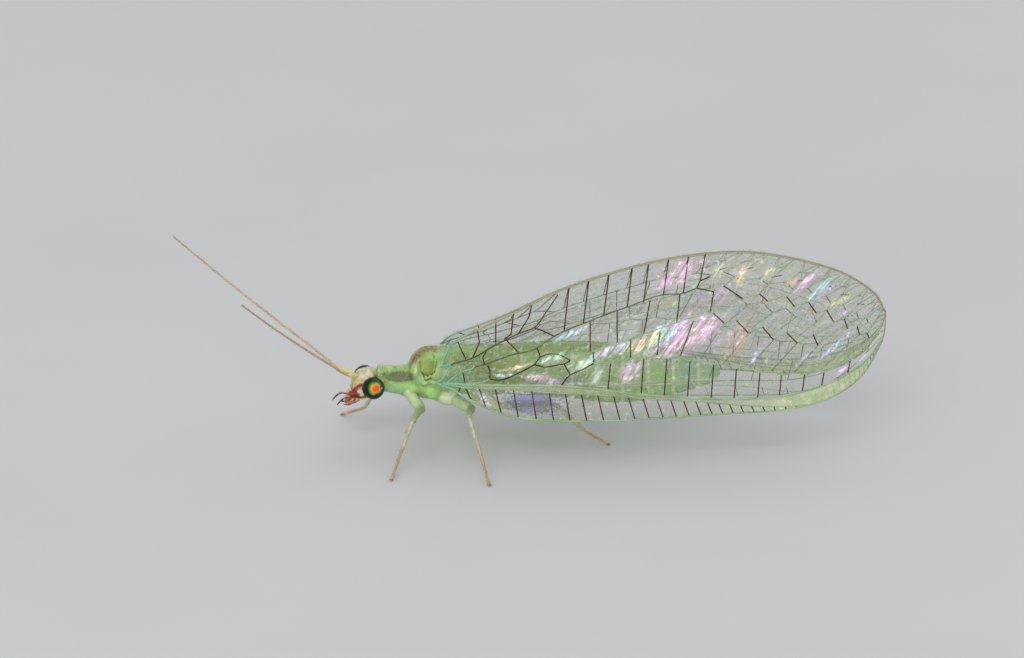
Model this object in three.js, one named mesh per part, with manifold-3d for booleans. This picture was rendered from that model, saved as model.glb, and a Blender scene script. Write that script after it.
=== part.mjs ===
// A green lacewing at rest, in millimetres and at life size: body, legs, feelers and four folded wings.
// +Z is up and the feet stand on z = 0. The head points to -X, the wing tips to +X.
// The animal's left side faces -Y. Sizes along the body are measured from the forewing hinge, x = 0.

import * as THREE from 'three';
import { mergeVertices } from 'three/addons/utils/BufferGeometryUtils.js';
import Module from 'manifold-3d';

const wasm = await Module();
wasm.setup();

// Driving dimensions
const gap = 0.3;
const wingThickness = 0.44;
const hingeToOrigin = -2.45;
const medianToOrigin = 0.0;

const colours = {
  green: 0x9cc46a,
  paleGreen: 0xb9d58a,
  cream: 0xd9d3a0,
  redBrown: 0x8c3a22,
  eye: 0x1d3a2a,
  tan: 0xb98e5c,
  membrane: 0xc9d6c4,
};

function material(colour, roughness) {
  return new THREE.MeshStandardMaterial({ color: colour, roughness, metalness: 0 });
}

// Closed mesh from a list of points and a list of index triples.
function closedGeometry(points, triangles) {
  const geometry = new THREE.BufferGeometry();
  const flat = points.flatMap((point) => [point.x, point.y, point.z]);
  geometry.setAttribute('position', new THREE.Float32BufferAttribute(flat, 3));
  geometry.setIndex(triangles.flat());
  return geometry;
}

// Skins a stack of equal rings and closes both ends with a fan round the end ring's middle.
function skinRings(rings) {
  const sides = rings[0].length;
  const points = rings.flat();
  const triangles = [];
  for (let ring = 0; ring + 1 < rings.length; ring += 1) {
    for (let side = 0; side < sides; side += 1) {
      const a = ring * sides + side;
      const b = ring * sides + ((side + 1) % sides);
      triangles.push([a, b, b + sides], [a, b + sides, a + sides]);
    }
  }
  const middle = (ring) => ring.reduce((sum, p) => sum.add(p), new THREE.Vector3()).divideScalar(sides);
  points.push(middle(rings[0]), middle(rings[rings.length - 1]));
  const first = points.length - 2;
  const last = points.length - 1;
  const lastRing = (rings.length - 1) * sides;
  for (let side = 0; side < sides; side += 1) {
    const next = (side + 1) % sides;
    triangles.push([first, next, side], [last, lastRing + side, lastRing + next]);
  }
  return closedGeometry(points, triangles);
}

// Trunk part: elliptical rings along a path in the median plane.
// Each ring is [x, z, half width, half height], and stands square to the path.
function trunk(rings, sides) {
  const centres = rings.map(([x, z]) => new THREE.Vector3(x, 0, z));
  const across = new THREE.Vector3(0, 1, 0);
  return skinRings(rings.map(([, , halfWidth, halfHeight], i) => {
    const ahead = centres[Math.min(i + 1, rings.length - 1)].clone();
    const along = ahead.sub(centres[Math.max(i - 1, 0)]).normalize();
    const up = new THREE.Vector3().crossVectors(along, across);
    return Array.from({ length: sides }, (_, side) => {
      const turn = (2 * Math.PI * (side + 0.5)) / sides;
      return centres[i].clone()
        .addScaledVector(across, halfWidth * Math.cos(turn))
        .addScaledVector(up, halfHeight * Math.sin(turn));
    });
  }));
}

// Limb: round rings along a bent path. Each stop is [x, y, z, radius].
// A limb with a sole ends in a level ring, so that it stands flat.
function limb(stops, sides, sole = false) {
  const centres = stops.map(([x, y, z]) => new THREE.Vector3(x, y, z));
  let across = null;
  return skinRings(centres.map((centre, i) => {
    const before = centres[Math.max(i - 1, 0)];
    const after = centres[Math.min(i + 1, centres.length - 1)];
    const along = after.clone().sub(centre).normalize().add(centre.clone().sub(before).normalize());
    if (sole && i === centres.length - 1) along.set(0, 0, -1);
    along.normalize();
    if (across === null) across = new THREE.Vector3(0.3, 0.1, 1).cross(along);
    across.addScaledVector(along, -across.dot(along)).normalize();
    const up = new THREE.Vector3().crossVectors(along, across);
    return Array.from({ length: sides }, (_, side) => {
      const turn = (2 * Math.PI * side) / sides;
      return centre.clone()
        .addScaledVector(across, stops[i][3] * Math.cos(turn))
        .addScaledVector(up, stops[i][3] * Math.sin(turn));
    });
  }));
}

function ball(radius, [x, y, z]) {
  return new THREE.SphereGeometry(radius, 20, 14).translate(x, y, z);
}

function toSolid(geometry) {
  const bare = geometry.clone();
  bare.deleteAttribute('normal');
  bare.deleteAttribute('uv');
  const merged = mergeVertices(bare, 1e-5);
  const vertProperties = new Float32Array(merged.attributes.position.array);
  return new wasm.Manifold(new wasm.Mesh({
    numProp: 3, vertProperties, triVerts: new Uint32Array(merged.index.array),
  }));
}

// Largest closed surface of a cut or joined solid.
function fromSolid(solid) {
  const pieces = solid.decompose().sort((one, other) => other.volume() - one.volume());
  const { vertProperties, triVerts } = pieces[0].getMesh();
  const geometry = new THREE.BufferGeometry();
  geometry.setAttribute('position', new THREE.Float32BufferAttribute(vertProperties, 3));
  geometry.setIndex(Array.from(triVerts));
  return geometry;
}

const lacewing = new THREE.Group();
lacewing.position.set(hingeToOrigin, medianToOrigin, 0);

function add(group, name, geometry, colour, roughness = 0.5) {
  const mesh = new THREE.Mesh(geometry, material(colour, roughness));
  mesh.name = name;
  group.add(mesh);
}

// Thorax: three rings of the trunk, the middle one high and humped where the wing muscles sit.
const prothorax = [
  [-2.0, 2.12, 0.36, 0.32], [-1.88, 2.12, 0.46, 0.38], [-1.7, 2.13, 0.52, 0.4],
  [-1.54, 2.14, 0.51, 0.4], [-1.46, 2.15, 0.46, 0.36],
];
const mesothorax = [
  [-1.1, 2.26, 0.44, 0.44], [-1.0, 2.32, 0.62, 0.63], [-0.84, 2.38, 0.78, 0.82],
  [-0.6, 2.4, 0.84, 0.91], [-0.3, 2.39, 0.82, 0.89], [-0.12, 2.37, 0.74, 0.8],
];
const metathorax = [
  [0.2, 2.24, 0.43, 0.62], [0.36, 2.2, 0.5, 0.68], [0.8, 2.24, 0.5, 0.66], [1.1, 2.34, 0.42, 0.56],
];
add(lacewing, 'prothorax', trunk(prothorax, 16), colours.green);
add(lacewing, 'mesothorax', trunk(mesothorax, 18), colours.green);
add(lacewing, 'metathorax', trunk(metathorax, 16), colours.green);

// Abdomen: nine segments, each a short sleeve whose hind edge laps over the next.
const abdomenFront = 1.42;
const abdomenLength = 7.38;
const abdomenSegments = 9;
const abdomenCentre = new THREE.SplineCurve([
  [0, 2.42], [0.16, 2.52], [0.32, 2.5], [0.48, 2.36], [0.64, 2.31], [0.8, 2.28], [0.92, 2.31], [1, 2.38],
].map((at) => new THREE.Vector2(...at)));
const abdomenHalfHeight = new THREE.SplineCurve([
  [0, 0.5], [0.16, 0.72], [0.32, 0.91], [0.48, 1.0], [0.64, 0.93], [0.8, 0.68], [0.92, 0.4], [1, 0.17],
].map((at) => new THREE.Vector2(...at)));
const abdomenFlatness = 0.71;

// Height of a curve at a given place along it.
function heightAt(curve, place) {
  let low = 0;
  let high = 1;
  for (let round = 0; round < 24; round += 1) {
    const half = (low + high) / 2;
    if (curve.getPoint(half).x < place) low = half;
    else high = half;
  }
  return curve.getPoint(low).y;
}

function abdomenRings() {
  const rings = [];
  for (let segment = 0; segment < abdomenSegments; segment += 1) {
    for (const [part, swell] of [[0.04, 0.93], [0.3, 0.99], [0.94, 1.01]]) {
      const place = (segment + part) / abdomenSegments;
      const halfHeight = heightAt(abdomenHalfHeight, place) * swell;
      const x = abdomenFront + place * abdomenLength;
      rings.push([x, heightAt(abdomenCentre, place), halfHeight * abdomenFlatness, halfHeight]);
    }
  }
  return rings;
}
add(lacewing, 'abdomen', trunk(abdomenRings(), 16), colours.green);

// Head: turned a little to the left, in a group of its own with its own forward, -X.
const head = new THREE.Group();
head.position.set(-2.7, 0, 2.05);
head.rotation.z = THREE.MathUtils.degToRad(20);
lacewing.add(head);

const eyeRadius = 0.365;
const eyeOffset = 0.53;
const eyeCut = 0.42;
const socketCut = 0.24;
const socketRadius = eyeRadius + 0.15;

function eyeball(side, radius, cut) {
  const whole = toSolid(ball(radius, [0, side * eyeOffset, 0]));
  const inner = new THREE.BoxGeometry(4, 2, 4).translate(0, side * (cut - 1), 0);
  return whole.subtract(toSolid(inner));
}

const cranium = toSolid(trunk([
  [0.4, 0.02, 0.24, 0.26], [0.34, 0.04, 0.38, 0.38], [0.2, 0.06, 0.52, 0.44],
  [-0.1, 0.05, 0.54, 0.42], [-0.4, 0.02, 0.5, 0.36], [-0.56, 0.0, 0.42, 0.26],
], 16));
const face = toSolid(trunk([
  [-0.2, 0.1, 0.36, 0.3], [-0.33, -0.1, 0.38, 0.27], [-0.44, -0.26, 0.33, 0.21], [-0.5, -0.36, 0.26, 0.16],
], 14));
let skull = cranium.add(face);
for (const side of [-1, 1]) skull = skull.subtract(eyeball(side, socketRadius, socketCut));
add(head, 'head', fromSolid(skull), colours.cream);
add(head, 'eye_left', fromSolid(eyeball(-1, eyeRadius, eyeCut)), colours.eye, 0.15);
add(head, 'eye_right', fromSolid(eyeball(1, eyeRadius, eyeCut)), colours.eye, 0.15);

// Mouthparts: labrum and mandibles as one short block with its mouth line, and four palps on its sides.
const mouthBlock = toSolid(trunk([
  [-0.68, -0.57, 0.19, 0.13], [-0.74, -0.65, 0.24, 0.16], [-0.82, -0.76, 0.21, 0.13], [-0.87, -0.84, 0.12, 0.08],
], 12));
const palpPaths = [
  [[-0.74, 0.1, -0.62, 0.12], [-0.8, 0.28, -0.58, 0.12], [-0.93, 0.34, -0.52, 0.11],
    [-1.05, 0.33, -0.56, 0.09], [-1.15, 0.31, -0.66, 0.05]],
  [[-0.78, 0.06, -0.74, 0.11], [-0.84, 0.18, -0.79, 0.1], [-0.95, 0.21, -0.86, 0.08],
    [-1.03, 0.2, -0.95, 0.05]],
];
let mouth = mouthBlock;
for (const side of [-1, 1]) {
  for (const path of palpPaths) {
    mouth = mouth.add(toSolid(limb(path.map(([x, y, z, radius]) => [x, side * y, z, radius]), 8)));
  }
}
const mouthLine = new THREE.BoxGeometry(0.26, 0.7, 0.03).rotateY(0.9).translate(-0.88, 0, -0.7);
add(head, 'mouthparts', fromSolid(mouth.subtract(toSolid(mouthLine))), colours.redBrown);

// Feelers: a thicker first joint at the head, then a long shaft that tapers at its tip.
// Each reach is forward, sideways and up from the root, in the head's own directions.
const feelerRoot = [-0.8, 0.33, 0.45];
const feelerRadius = 0.23;
const feelers = [
  { name: 'antenna_left', side: -1, reach: [4.83, 3.58, 4.21] },
  { name: 'antenna_right', side: 1, reach: [3.44, 6.53, 2.75] },
];
const feelerSag = 0.08;
const feelerRings = 13;
const feelerTipStart = 0.8;
const feelerTipTaper = 2.6;

function feeler({ side, reach }) {
  const [x, y, z] = feelerRoot;
  const stops = [[x, side * y, z, feelerRadius]];
  for (let ring = 1; ring <= feelerRings; ring += 1) {
    const part = ring / feelerRings;
    const drop = feelerSag * 4 * part * (1 - part);
    const thinning = 1 - feelerTipTaper * Math.max(part - feelerTipStart, 0);
    stops.push([
      x - reach[0] * part,
      side * (y + reach[1] * part),
      z + reach[2] * part - drop,
      feelerRadius * thinning,
    ]);
  }
  return limb(stops, 8);
}
for (const one of feelers) add(head, one.name, feeler(one), colours.tan);

// Legs: hip, trochanter, knee, ankle and toe of each, and the same thickness in every pair.
const legStops = {
  hip: 0.25, coxa: 0.26, trochanter: 0.25, knee: 0.25, shin: 0.23, ankle: 0.21, toe: 0.2, sole: 0.17,
};
const legs = {
  foreleg_left: [[-1.66, -0.47, 1.52], [-1.5, -0.62, 1.3], [-0.92, -1.02, 1.32],
    [-1.2, -2.79, 1.7], [-1.585, -2.78, 0.62], [-1.877, -3.75, 0]],
  foreleg_right: [[-1.66, 0.47, 1.52], [-1.5, 0.62, 1.3], [-0.92, 1.02, 1.32],
    [-2.0, 2.05, 1.6], [-2.8, 1.95, 0.42], [-3.5, 2.34, 0]],
  midleg_left: [[-0.25, -0.55, 1.3], [-0.1, -0.68, 1.08], [0.72, -1.12, 1.28],
    [0.62, -2.8, 1.84], [1.0, -3.22, 0.68], [1.262, -4.2, 0]],
  midleg_right: [[-0.25, 0.55, 1.3], [-0.1, 0.68, 1.08], [0.6, 1.12, 1.28],
    [0.5, 2.5, 1.85], [0.6, 3.0, 0.68], [0.7, 3.95, 0]],
  hindleg_left: [[0.92, -0.42, 1.3], [1.08, -0.5, 1.05], [1.62, -0.85, 1.18],
    [3.35, -1.14, 1.72], [4.38, -0.62, 0.55], [5.1, -0.45, 0]],
  hindleg_right: [[0.92, 0.42, 1.3], [1.08, 0.5, 1.05], [1.62, 0.85, 1.18],
    [3.15, 1.5, 1.66], [4.0, 2.75, 0.52], [4.6, 3.95, 0]],
};

function between(from, to, part, radius) {
  const [x, y, z] = from.map((value, axis) => value + (to[axis] - value) * part);
  return [x, y, z, radius];
}

function leg([hip, coxa, trochanter, knee, ankle, toe]) {
  const size = legStops;
  return limb([
    [...hip, size.hip], [...coxa, size.coxa],
    [...trochanter, size.trochanter],
    between(trochanter, knee, 0.3, size.trochanter), between(trochanter, knee, 0.8, size.knee * 0.96),
    [...knee, size.knee],
    between(knee, ankle, 0.25, size.shin), between(knee, ankle, 0.75, size.ankle),
    [...ankle, size.ankle],
    between(ankle, toe, 0.55, size.toe),
    [...toe, size.sole],
  ], 8, true);
}
for (const [name, joints] of Object.entries(legs)) add(lacewing, name, leg(joints), colours.paleGreen);

// Wings: the folded forewings make a steep roof over the body, and the hindwings lie under them.
// Each station of the roof gives the costal margin below, the hind margin at the ridge,
// and how far both stand from the median plane.
const roof = [
  { lowX: -0.42, lowZ: 2.46, lowY: 1.3, highX: -0.3, highZ: 2.95, highY: 1.2 },
  { lowX: 0.06, lowZ: 2.42, lowY: 1.72, highX: 0.06, highZ: 3.58, highY: 0.92 },
  { lowX: 0.81, lowZ: 2.1, lowY: 2.08, highX: 0.81, highZ: 3.93, highY: 0.52 },
  { lowX: 1.94, lowZ: 1.7, lowY: 2.3, highX: 1.94, highZ: 4.4, highY: 0.39 },
  { lowX: 3.56, lowZ: 1.58, lowY: 2.42, highX: 3.56, highZ: 5.19, highY: 0.37 },
  { lowX: 5.5, lowZ: 1.6, lowY: 2.42, highX: 5.5, highZ: 5.87, highY: 0.37 },
  { lowX: 7.44, lowZ: 1.68, lowY: 2.3, highX: 7.44, highZ: 6.34, highY: 0.37 },
  { lowX: 9.38, lowZ: 1.7, lowY: 2.0, highX: 9.38, highZ: 6.51, highY: 0.37 },
  { lowX: 11.0, lowZ: 1.72, lowY: 1.68, highX: 11.0, highZ: 6.3, highY: 0.37 },
  { lowX: 12.36, lowZ: 2.0, lowY: 1.3, highX: 12.6, highZ: 5.83, highY: 0.37 },
  { lowX: 13.33, lowZ: 2.64, lowY: 1.0, highX: 13.68, highZ: 5.13, highY: 0.36 },
  { lowX: 13.94, lowZ: 3.6, lowY: 0.66, highX: 14.08, highZ: 4.46, highY: 0.36 },
];
const roofCurvature = 1.7;

const lowMargin = new THREE.CatmullRomCurve3(
  roof.map((at) => new THREE.Vector3(at.lowX, at.lowY, at.lowZ)), false, 'catmullrom', 0.5,
);
const highMargin = new THREE.CatmullRomCurve3(
  roof.map((at) => new THREE.Vector3(at.highX, at.highY, at.highZ)), false, 'catmullrom', 0.5,
);

// Past tipStart the wing swells outward, so that its end is round.
const tipStart = 0.85;
const tipSwell = 0.05;

// Point of the right-hand roof: span runs from root 0 to tip 1, chord from costal 0 to hind margin 1.
function roofPoint(span, chord) {
  const low = lowMargin.getPoint(span);
  const high = highMargin.getPoint(span);
  const point = low.clone().lerp(high, chord);
  point.y = high.y + (low.y - high.y) * (1 - chord ** roofCurvature);
  const nearTip = Math.max(span - tipStart, 0) / (1 - tipStart);
  point.x += tipSwell * 4 * chord * (1 - chord) * nearTip ** 2;
  return point;
}

function roofNormal(span, chord) {
  const step = 1e-3;
  const before = roofPoint(Math.max(span - step, 0), chord);
  const alongSpan = roofPoint(Math.min(span + step, 1), chord).sub(before);
  const below = roofPoint(span, Math.max(chord - step, 0));
  const alongChord = roofPoint(span, Math.min(chord + step, 1)).sub(below);
  const normal = alongChord.cross(alongSpan).normalize();
  return normal.y < 0 ? normal.negate() : normal;
}

function curveAt(stops) {
  const curve = new THREE.SplineCurve(stops.map((at) => new THREE.Vector2(...at)));
  return (span) => heightAt(curve, span);
}

// Long veins of the forewing: chord of each along the span.
const forewingVeins = {
  radius: curveAt([[0, 0.2], [0.1, 0.2], [0.19, 0.3], [0.29, 0.27], [0.42, 0.2], [0.56, 0.12], [0.7, 0.08],
    [1, 0.1]]),
  sector: curveAt([[0, 0.4], [0.1, 0.37], [0.19, 0.42], [0.34, 0.4], [0.42, 0.46], [0.53, 0.41], [0.62, 0.33],
    [0.7, 0.25], [0.8, 0.2], [0.9, 0.23], [1, 0.3]]),
  media: curveAt([[0, 0.6], [0.1, 0.54], [0.19, 0.53], [0.32, 0.55], [0.44, 0.56], [0.53, 0.6], [0.6, 0.62],
    [0.7, 0.5], [0.8, 0.42], [0.9, 0.45], [1, 0.52]]),
  cubitus: curveAt([[0, 0.8], [0.1, 0.74], [0.2, 0.72], [0.33, 0.71], [0.42, 0.76], [0.56, 0.81],
    [0.64, 0.76], [0.76, 0.65], [0.85, 0.56], [0.93, 0.6], [1, 0.72]]),
};
const hindwingVeins = {
  radius: curveAt([[0, 0.22], [0.3, 0.16], [1, 0.2]]),
  sector: curveAt([[0, 0.5], [0.3, 0.42], [0.6, 0.5], [1, 0.5]]),
  cubitus: curveAt([[0, 0.76], [0.3, 0.72], [0.6, 0.78], [1, 0.76]]),
};
const veinHalfWidth = 0.09;
const veinWidestShare = 0.045;
const crossVeinRise = 0.7;
const firstCrossVein = 0.03;
const crossVeinReach = 0.93;

// Rows of the wing mesh from costal to hind margin: three to a vein, the middle one its crest.
function chordRows(veins, span, chordLength) {
  const rows = [{ chord: 0, crest: true }];
  for (const vein of Object.values(veins)) {
    const middle = vein(span);
    const half = Math.min(veinHalfWidth / chordLength, veinWidestShare);
    rows.push({ chord: middle - half }, { chord: middle, crest: true }, { chord: middle + half });
  }
  const last = rows[rows.length - 1].chord;
  rows.push({ chord: (last + 1) / 2 }, { chord: 1, crest: true });
  return rows;
}

// Columns of the wing mesh along the span: three to a cross vein.
function spanColumns(crossVeins, length) {
  const half = veinHalfWidth / length;
  const columns = [{ span: 0 }];
  for (let vein = 1; vein <= crossVeins; vein += 1) {
    const middle = firstCrossVein + (crossVeinReach * vein) / (crossVeins + 1);
    columns.push({ span: middle - half }, { span: middle, crest: true }, { span: middle + half });
  }
  columns.push({ span: 1 });
  return columns;
}

// Wing blade between two faces that share one grid, so that both split into triangles alike.
function wingBlade(side, wing) {
  const outer = [];
  const inner = [];
  for (const column of spanColumns(wing.crossVeins, wing.length)) {
    const span = wing.from + (wing.to - wing.from) * column.span;
    const [chordLow, chordHigh] = [wing.low(column.span), wing.high(column.span)];
    const start = roofPoint(span, chordLow);
    const chordLength = start.distanceTo(roofPoint(span, chordHigh));
    for (const row of chordRows(wing.veins, column.span, chordLength)) {
      const chord = chordLow + (chordHigh - chordLow) * row.chord;
      const middle = roofPoint(span, chord);
      const normal = roofNormal(span, chord);
      const rise = wing.rise * (row.crest ? 1 : (column.crest ? crossVeinRise : 0));
      outer.push(middle.clone().addScaledVector(normal, wingThickness / 2 - wing.depth + rise));
      inner.push(middle.clone().addScaledVector(normal, -wingThickness / 2 - wing.depth));
    }
  }
  const rows = 3 * Object.keys(wing.veins).length + 3;
  const columns = outer.length / rows;
  const total = outer.length;
  const points = [...outer, ...inner];
  for (const point of points) point.y *= side;
  const triangles = [];
  const quad = (a, b, c, d) => triangles.push([a, b, c], [a, c, d]);
  const at = (column, row) => column * rows + row;
  for (let column = 0; column + 1 < columns; column += 1) {
    for (let row = 0; row + 1 < rows; row += 1) {
      const corners = [at(column, row), at(column + 1, row), at(column + 1, row + 1), at(column, row + 1)];
      quad(...corners);
      const [a, b, c, d] = corners.map((corner) => corner + total);
      triangles.push([a, c, b], [a, d, c]);
    }
    quad(at(column, 0) + total, at(column + 1, 0) + total, at(column + 1, 0), at(column, 0));
    const top = rows - 1;
    quad(at(column, top), at(column + 1, top), at(column + 1, top) + total, at(column, top) + total);
  }
  for (let row = 0; row + 1 < rows; row += 1) {
    const tip = columns - 1;
    quad(at(0, row), at(0, row + 1), at(0, row + 1) + total, at(0, row) + total);
    quad(at(tip, row + 1), at(tip, row), at(tip, row) + total, at(tip, row + 1) + total);
  }
  if (side > 0) for (const triangle of triangles) triangle.reverse();
  return closedGeometry(points, triangles);
}

const forewing = {
  from: 0, to: 1, depth: 0, rise: 0.07, length: 14.5, crossVeins: 12, veins: forewingVeins,
  low: () => 0, high: () => 1,
};
const hindwing = {
  from: 0.15, to: 0.8, depth: wingThickness + gap, rise: 0.05, length: 11.5, crossVeins: 9,
  veins: hindwingVeins,
  low: curveAt([[0, 0.42], [0.1, 0.36], [0.3, 0.3], [0.5, 0.22], [0.7, 0.13], [0.88, 0.09], [1, 0.12]]),
  high: curveAt([[0, 0.7], [0.1, 0.77], [0.3, 0.77], [0.5, 0.76], [0.7, 0.71], [0.82, 0.6], [0.93, 0.42],
    [1, 0.24]]),
};
for (const [suffix, side] of [['left', -1], ['right', 1]]) {
  add(lacewing, `forewing_${suffix}`, wingBlade(side, forewing), colours.membrane, 0.2);
  add(lacewing, `hindwing_${suffix}`, wingBlade(side, hindwing), colours.membrane, 0.2);
}

export default lacewing;
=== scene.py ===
# A green lacewing at rest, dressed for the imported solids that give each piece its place.
# Sizes are in millimetres. Lengths along the animal are measured from the forewing hinge,
# with the head at -X, the left side at -Y and the feet on z = 0.
import math
import bmesh
import bpy
import numpy as np
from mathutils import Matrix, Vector, noise


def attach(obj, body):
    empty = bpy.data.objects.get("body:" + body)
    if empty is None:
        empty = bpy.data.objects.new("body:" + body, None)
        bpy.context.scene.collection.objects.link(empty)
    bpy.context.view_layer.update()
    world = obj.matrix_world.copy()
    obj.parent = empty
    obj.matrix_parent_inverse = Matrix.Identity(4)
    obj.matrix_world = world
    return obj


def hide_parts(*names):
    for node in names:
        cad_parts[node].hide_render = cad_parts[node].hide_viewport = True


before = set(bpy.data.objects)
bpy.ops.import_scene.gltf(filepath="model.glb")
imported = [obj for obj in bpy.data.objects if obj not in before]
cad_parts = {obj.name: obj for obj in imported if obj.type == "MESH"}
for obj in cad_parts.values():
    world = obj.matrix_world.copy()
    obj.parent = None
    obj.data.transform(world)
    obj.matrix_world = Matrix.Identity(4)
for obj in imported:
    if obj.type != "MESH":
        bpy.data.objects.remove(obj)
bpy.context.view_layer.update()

# The studio: a plain pale floor, a large soft lamp over the animal's left shoulder, weaker ones
# low in front and behind, and a camera that looks down at 20 degrees from its left side, as the
# photograph does.
metres = 0.001
view_width = 33.14
camera_drop = math.radians(20)
camera_distance = 600.0
camera_target = Vector((-0.444, 0.0, 3.857))
sensor_width = 36.0


def place_camera():
    data = bpy.data.cameras.new("camera")
    data.sensor_width = sensor_width
    data.lens = sensor_width * camera_distance / view_width
    data.clip_start = 0.02
    data.clip_end = 10.0
    camera = bpy.data.objects.new("camera", data)
    away = Vector((0.0, -math.cos(camera_drop), math.sin(camera_drop)))
    camera.location = (camera_target + away * camera_distance) * metres
    camera.rotation_euler = (math.pi / 2 - camera_drop, 0.0, 0.0)
    bpy.context.scene.collection.objects.link(camera)
    bpy.context.scene.camera = camera


def place_lamp(name, toward, distance, size, power, colour):
    data = bpy.data.lights.new(name, "AREA")
    data.size = size * metres
    data.energy = power
    data.color = colour
    lamp = bpy.data.objects.new(name, data)
    direction = Vector(toward).normalized()
    lamp.location = (camera_target + direction * distance) * metres
    lamp.rotation_euler = direction.to_track_quat("Z", "Y").to_euler()
    lamp.visible_camera = False
    bpy.context.scene.collection.objects.link(lamp)


def node(tree, kind, inputs=None, **settings):
    """Adds a shader node. Inputs are sockets to link or values to set."""
    made = tree.nodes.new(kind)
    for name, value in settings.items():
        setattr(made, name, value)
    for name, value in (inputs or {}).items():
        if isinstance(value, bpy.types.NodeSocket):
            tree.links.new(value, made.inputs[name])
        else:
            made.inputs[name].default_value = value
    return made


def paint(code):
    """Linear colour of a six-figure code."""
    shares = [int(code[i:i + 2], 16) / 255 for i in (0, 2, 4)]
    linear = [c / 12.92 if c <= 0.04045 else ((c + 0.055) / 1.055) ** 2.4 for c in shares]
    return (*linear, 1.0)


def blank_material(name):
    material = bpy.data.materials.new(name)
    material.use_nodes = True
    tree = material.node_tree
    tree.nodes.clear()
    return material, tree


def finish_surface(tree, **inputs):
    """The Principled surface of a material. Names are its sockets, with _ for spaces."""
    named = {name.replace("_", " "): value for name, value in inputs.items()}
    surface = node(tree, "ShaderNodeBsdfPrincipled", named)
    node(tree, "ShaderNodeOutputMaterial", {"Surface": surface.outputs["BSDF"]})


def scaled_place(tree):
    """Place on the piece, in millimetres."""
    where = node(tree, "ShaderNodeTexCoord").outputs["Object"]
    inputs = {0: where, 3: 1 / metres}
    return node(tree, "ShaderNodeVectorMath", inputs, operation="SCALE").outputs[0]


def clouds(tree, place, scale, detail, roughness=0.5):
    inputs = {"Vector": place, "Scale": scale, "Detail": detail, "Roughness": roughness}
    return node(tree, "ShaderNodeTexNoise", inputs).outputs["Fac"]


def shades(tree, factor, stops):
    """Colour ramp through stops of place and colour code."""
    ramp = node(tree, "ShaderNodeValToRGB", {"Fac": factor})
    elements = ramp.color_ramp.elements
    while len(elements) < len(stops):
        elements.new(0.5)
    for element, (place, code) in zip(elements, stops):
        element.position = place
        element.color = paint(code)
    return ramp.outputs["Color"]


def floor_material():
    material, tree = blank_material("pale_board")
    cloud = clouds(tree, scaled_place(tree), 0.08, 3.0)
    colour = shades(tree, cloud, [(0.0, "c6c6c7"), (1.0, "cecece")])
    finish_surface(tree, Base_Color=colour, Roughness=0.8)
    return material


place_camera()
place_lamp("key_lamp", (-0.2, -1.0, 0.8), 420.0, 260.0, 0.7, (1.0, 0.985, 0.96))
place_lamp("back_lamp", (0.6, 0.9, 0.9), 460.0, 320.0, 0.3, (0.95, 0.98, 1.0))
place_lamp("low_lamp", (-0.3, -1.0, 0.1), 420.0, 200.0, 0.42, (1.0, 0.99, 0.97))
floor_size = 2.0
floor_mesh = bpy.data.meshes.new("floor")
corners = [(-1, -1, 0), (1, -1, 0), (1, 1, 0), (-1, 1, 0)]
floor_mesh.from_pydata([Vector(c) * floor_size for c in corners], [], [(0, 1, 2, 3)])
floor_mesh.materials.append(floor_material())
floor = bpy.data.objects.new("floor", floor_mesh)
bpy.context.scene.collection.objects.link(floor)

world = bpy.data.worlds.new("room")
world.use_nodes = True
backdrop = world.node_tree.nodes["Background"].inputs
backdrop["Color"].default_value = paint("e9ebee")
backdrop["Strength"].default_value = 0.75
bpy.context.scene.world = world
bpy.context.scene.view_settings.view_transform = "Standard"
bpy.context.scene.cycles.transparent_max_bounces = 32

# The trunk: thorax and abdomen in one soft green cuticle, with the neck that carries the head.
# Rings are lofted along the body, the muscle lobes are swelled out of it, and the whole is fused,
# smoothed and then creased where one plate laps over the next.
hinge_place = np.array([-2.45, 0.0, 0.0])


def smooth_between(stops, at):
    """Smooth values at the given places. Each stop is a place and then its values."""
    stops = np.asarray(stops, float)
    places, values = stops[:, 0], stops[:, 1:]
    slopes = np.gradient(values, places, axis=0)
    at = np.clip(np.asarray(at, float), places[0], places[-1])
    i = np.clip(np.searchsorted(places, at, side="right") - 1, 0, len(places) - 2)
    step = (places[i + 1] - places[i])[:, None]
    t = ((at - places[i]) / step[:, 0])[:, None]
    from_start = (1 + 2 * t) * (1 - t) ** 2 * values[i] + t * (1 - t) ** 2 * step * slopes[i]
    from_end = t * t * (3 - 2 * t) * values[i + 1] + t * t * (t - 1) * step * slopes[i + 1]
    return from_start + from_end


def lengths_along(points):
    """Length of a line up to each of its points."""
    steps = np.linalg.norm(np.diff(points, axis=0), axis=1)
    return np.concatenate([[0.0], np.cumsum(steps)])


def path_through(points, count):
    """Points at even steps on a smooth line through the given ones."""
    along = lengths_along(points)
    return smooth_between(np.column_stack([along, points]), np.linspace(0, along[-1], count))


def skin_rings(rings):
    """Closed skin over a stack of equal rings: points and faces."""
    rings = np.asarray(rings, float)
    count, sides = rings.shape[:2]
    ring, side = np.meshgrid(np.arange(count - 1), np.arange(sides), indexing="ij")
    a = ring * sides + side
    b = ring * sides + (side + 1) % sides
    quads = np.stack([a, b, b + sides, a + sides], axis=-1).reshape(-1, 4)
    last = (count - 1) * sides
    faces = quads.tolist() + [list(range(sides))[::-1], list(range(last, last + sides))]
    return rings.reshape(-1, 3), faces


def trunk_part(stops, count=60, sides=40):
    """Body length: stops of place along the body, height, half width and half height."""
    at = np.linspace(stops[0][0], stops[-1][0], count)
    height, half_wide, half_high = smooth_between(stops, at).T
    turn = np.linspace(0, 2 * np.pi, sides, endpoint=False)
    x = np.repeat(at[:, None], sides, axis=1)
    y = half_wide[:, None] * np.cos(turn)
    z = height[:, None] + half_high[:, None] * np.sin(turn)
    return skin_rings(np.stack([x, y, z], axis=-1))


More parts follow.
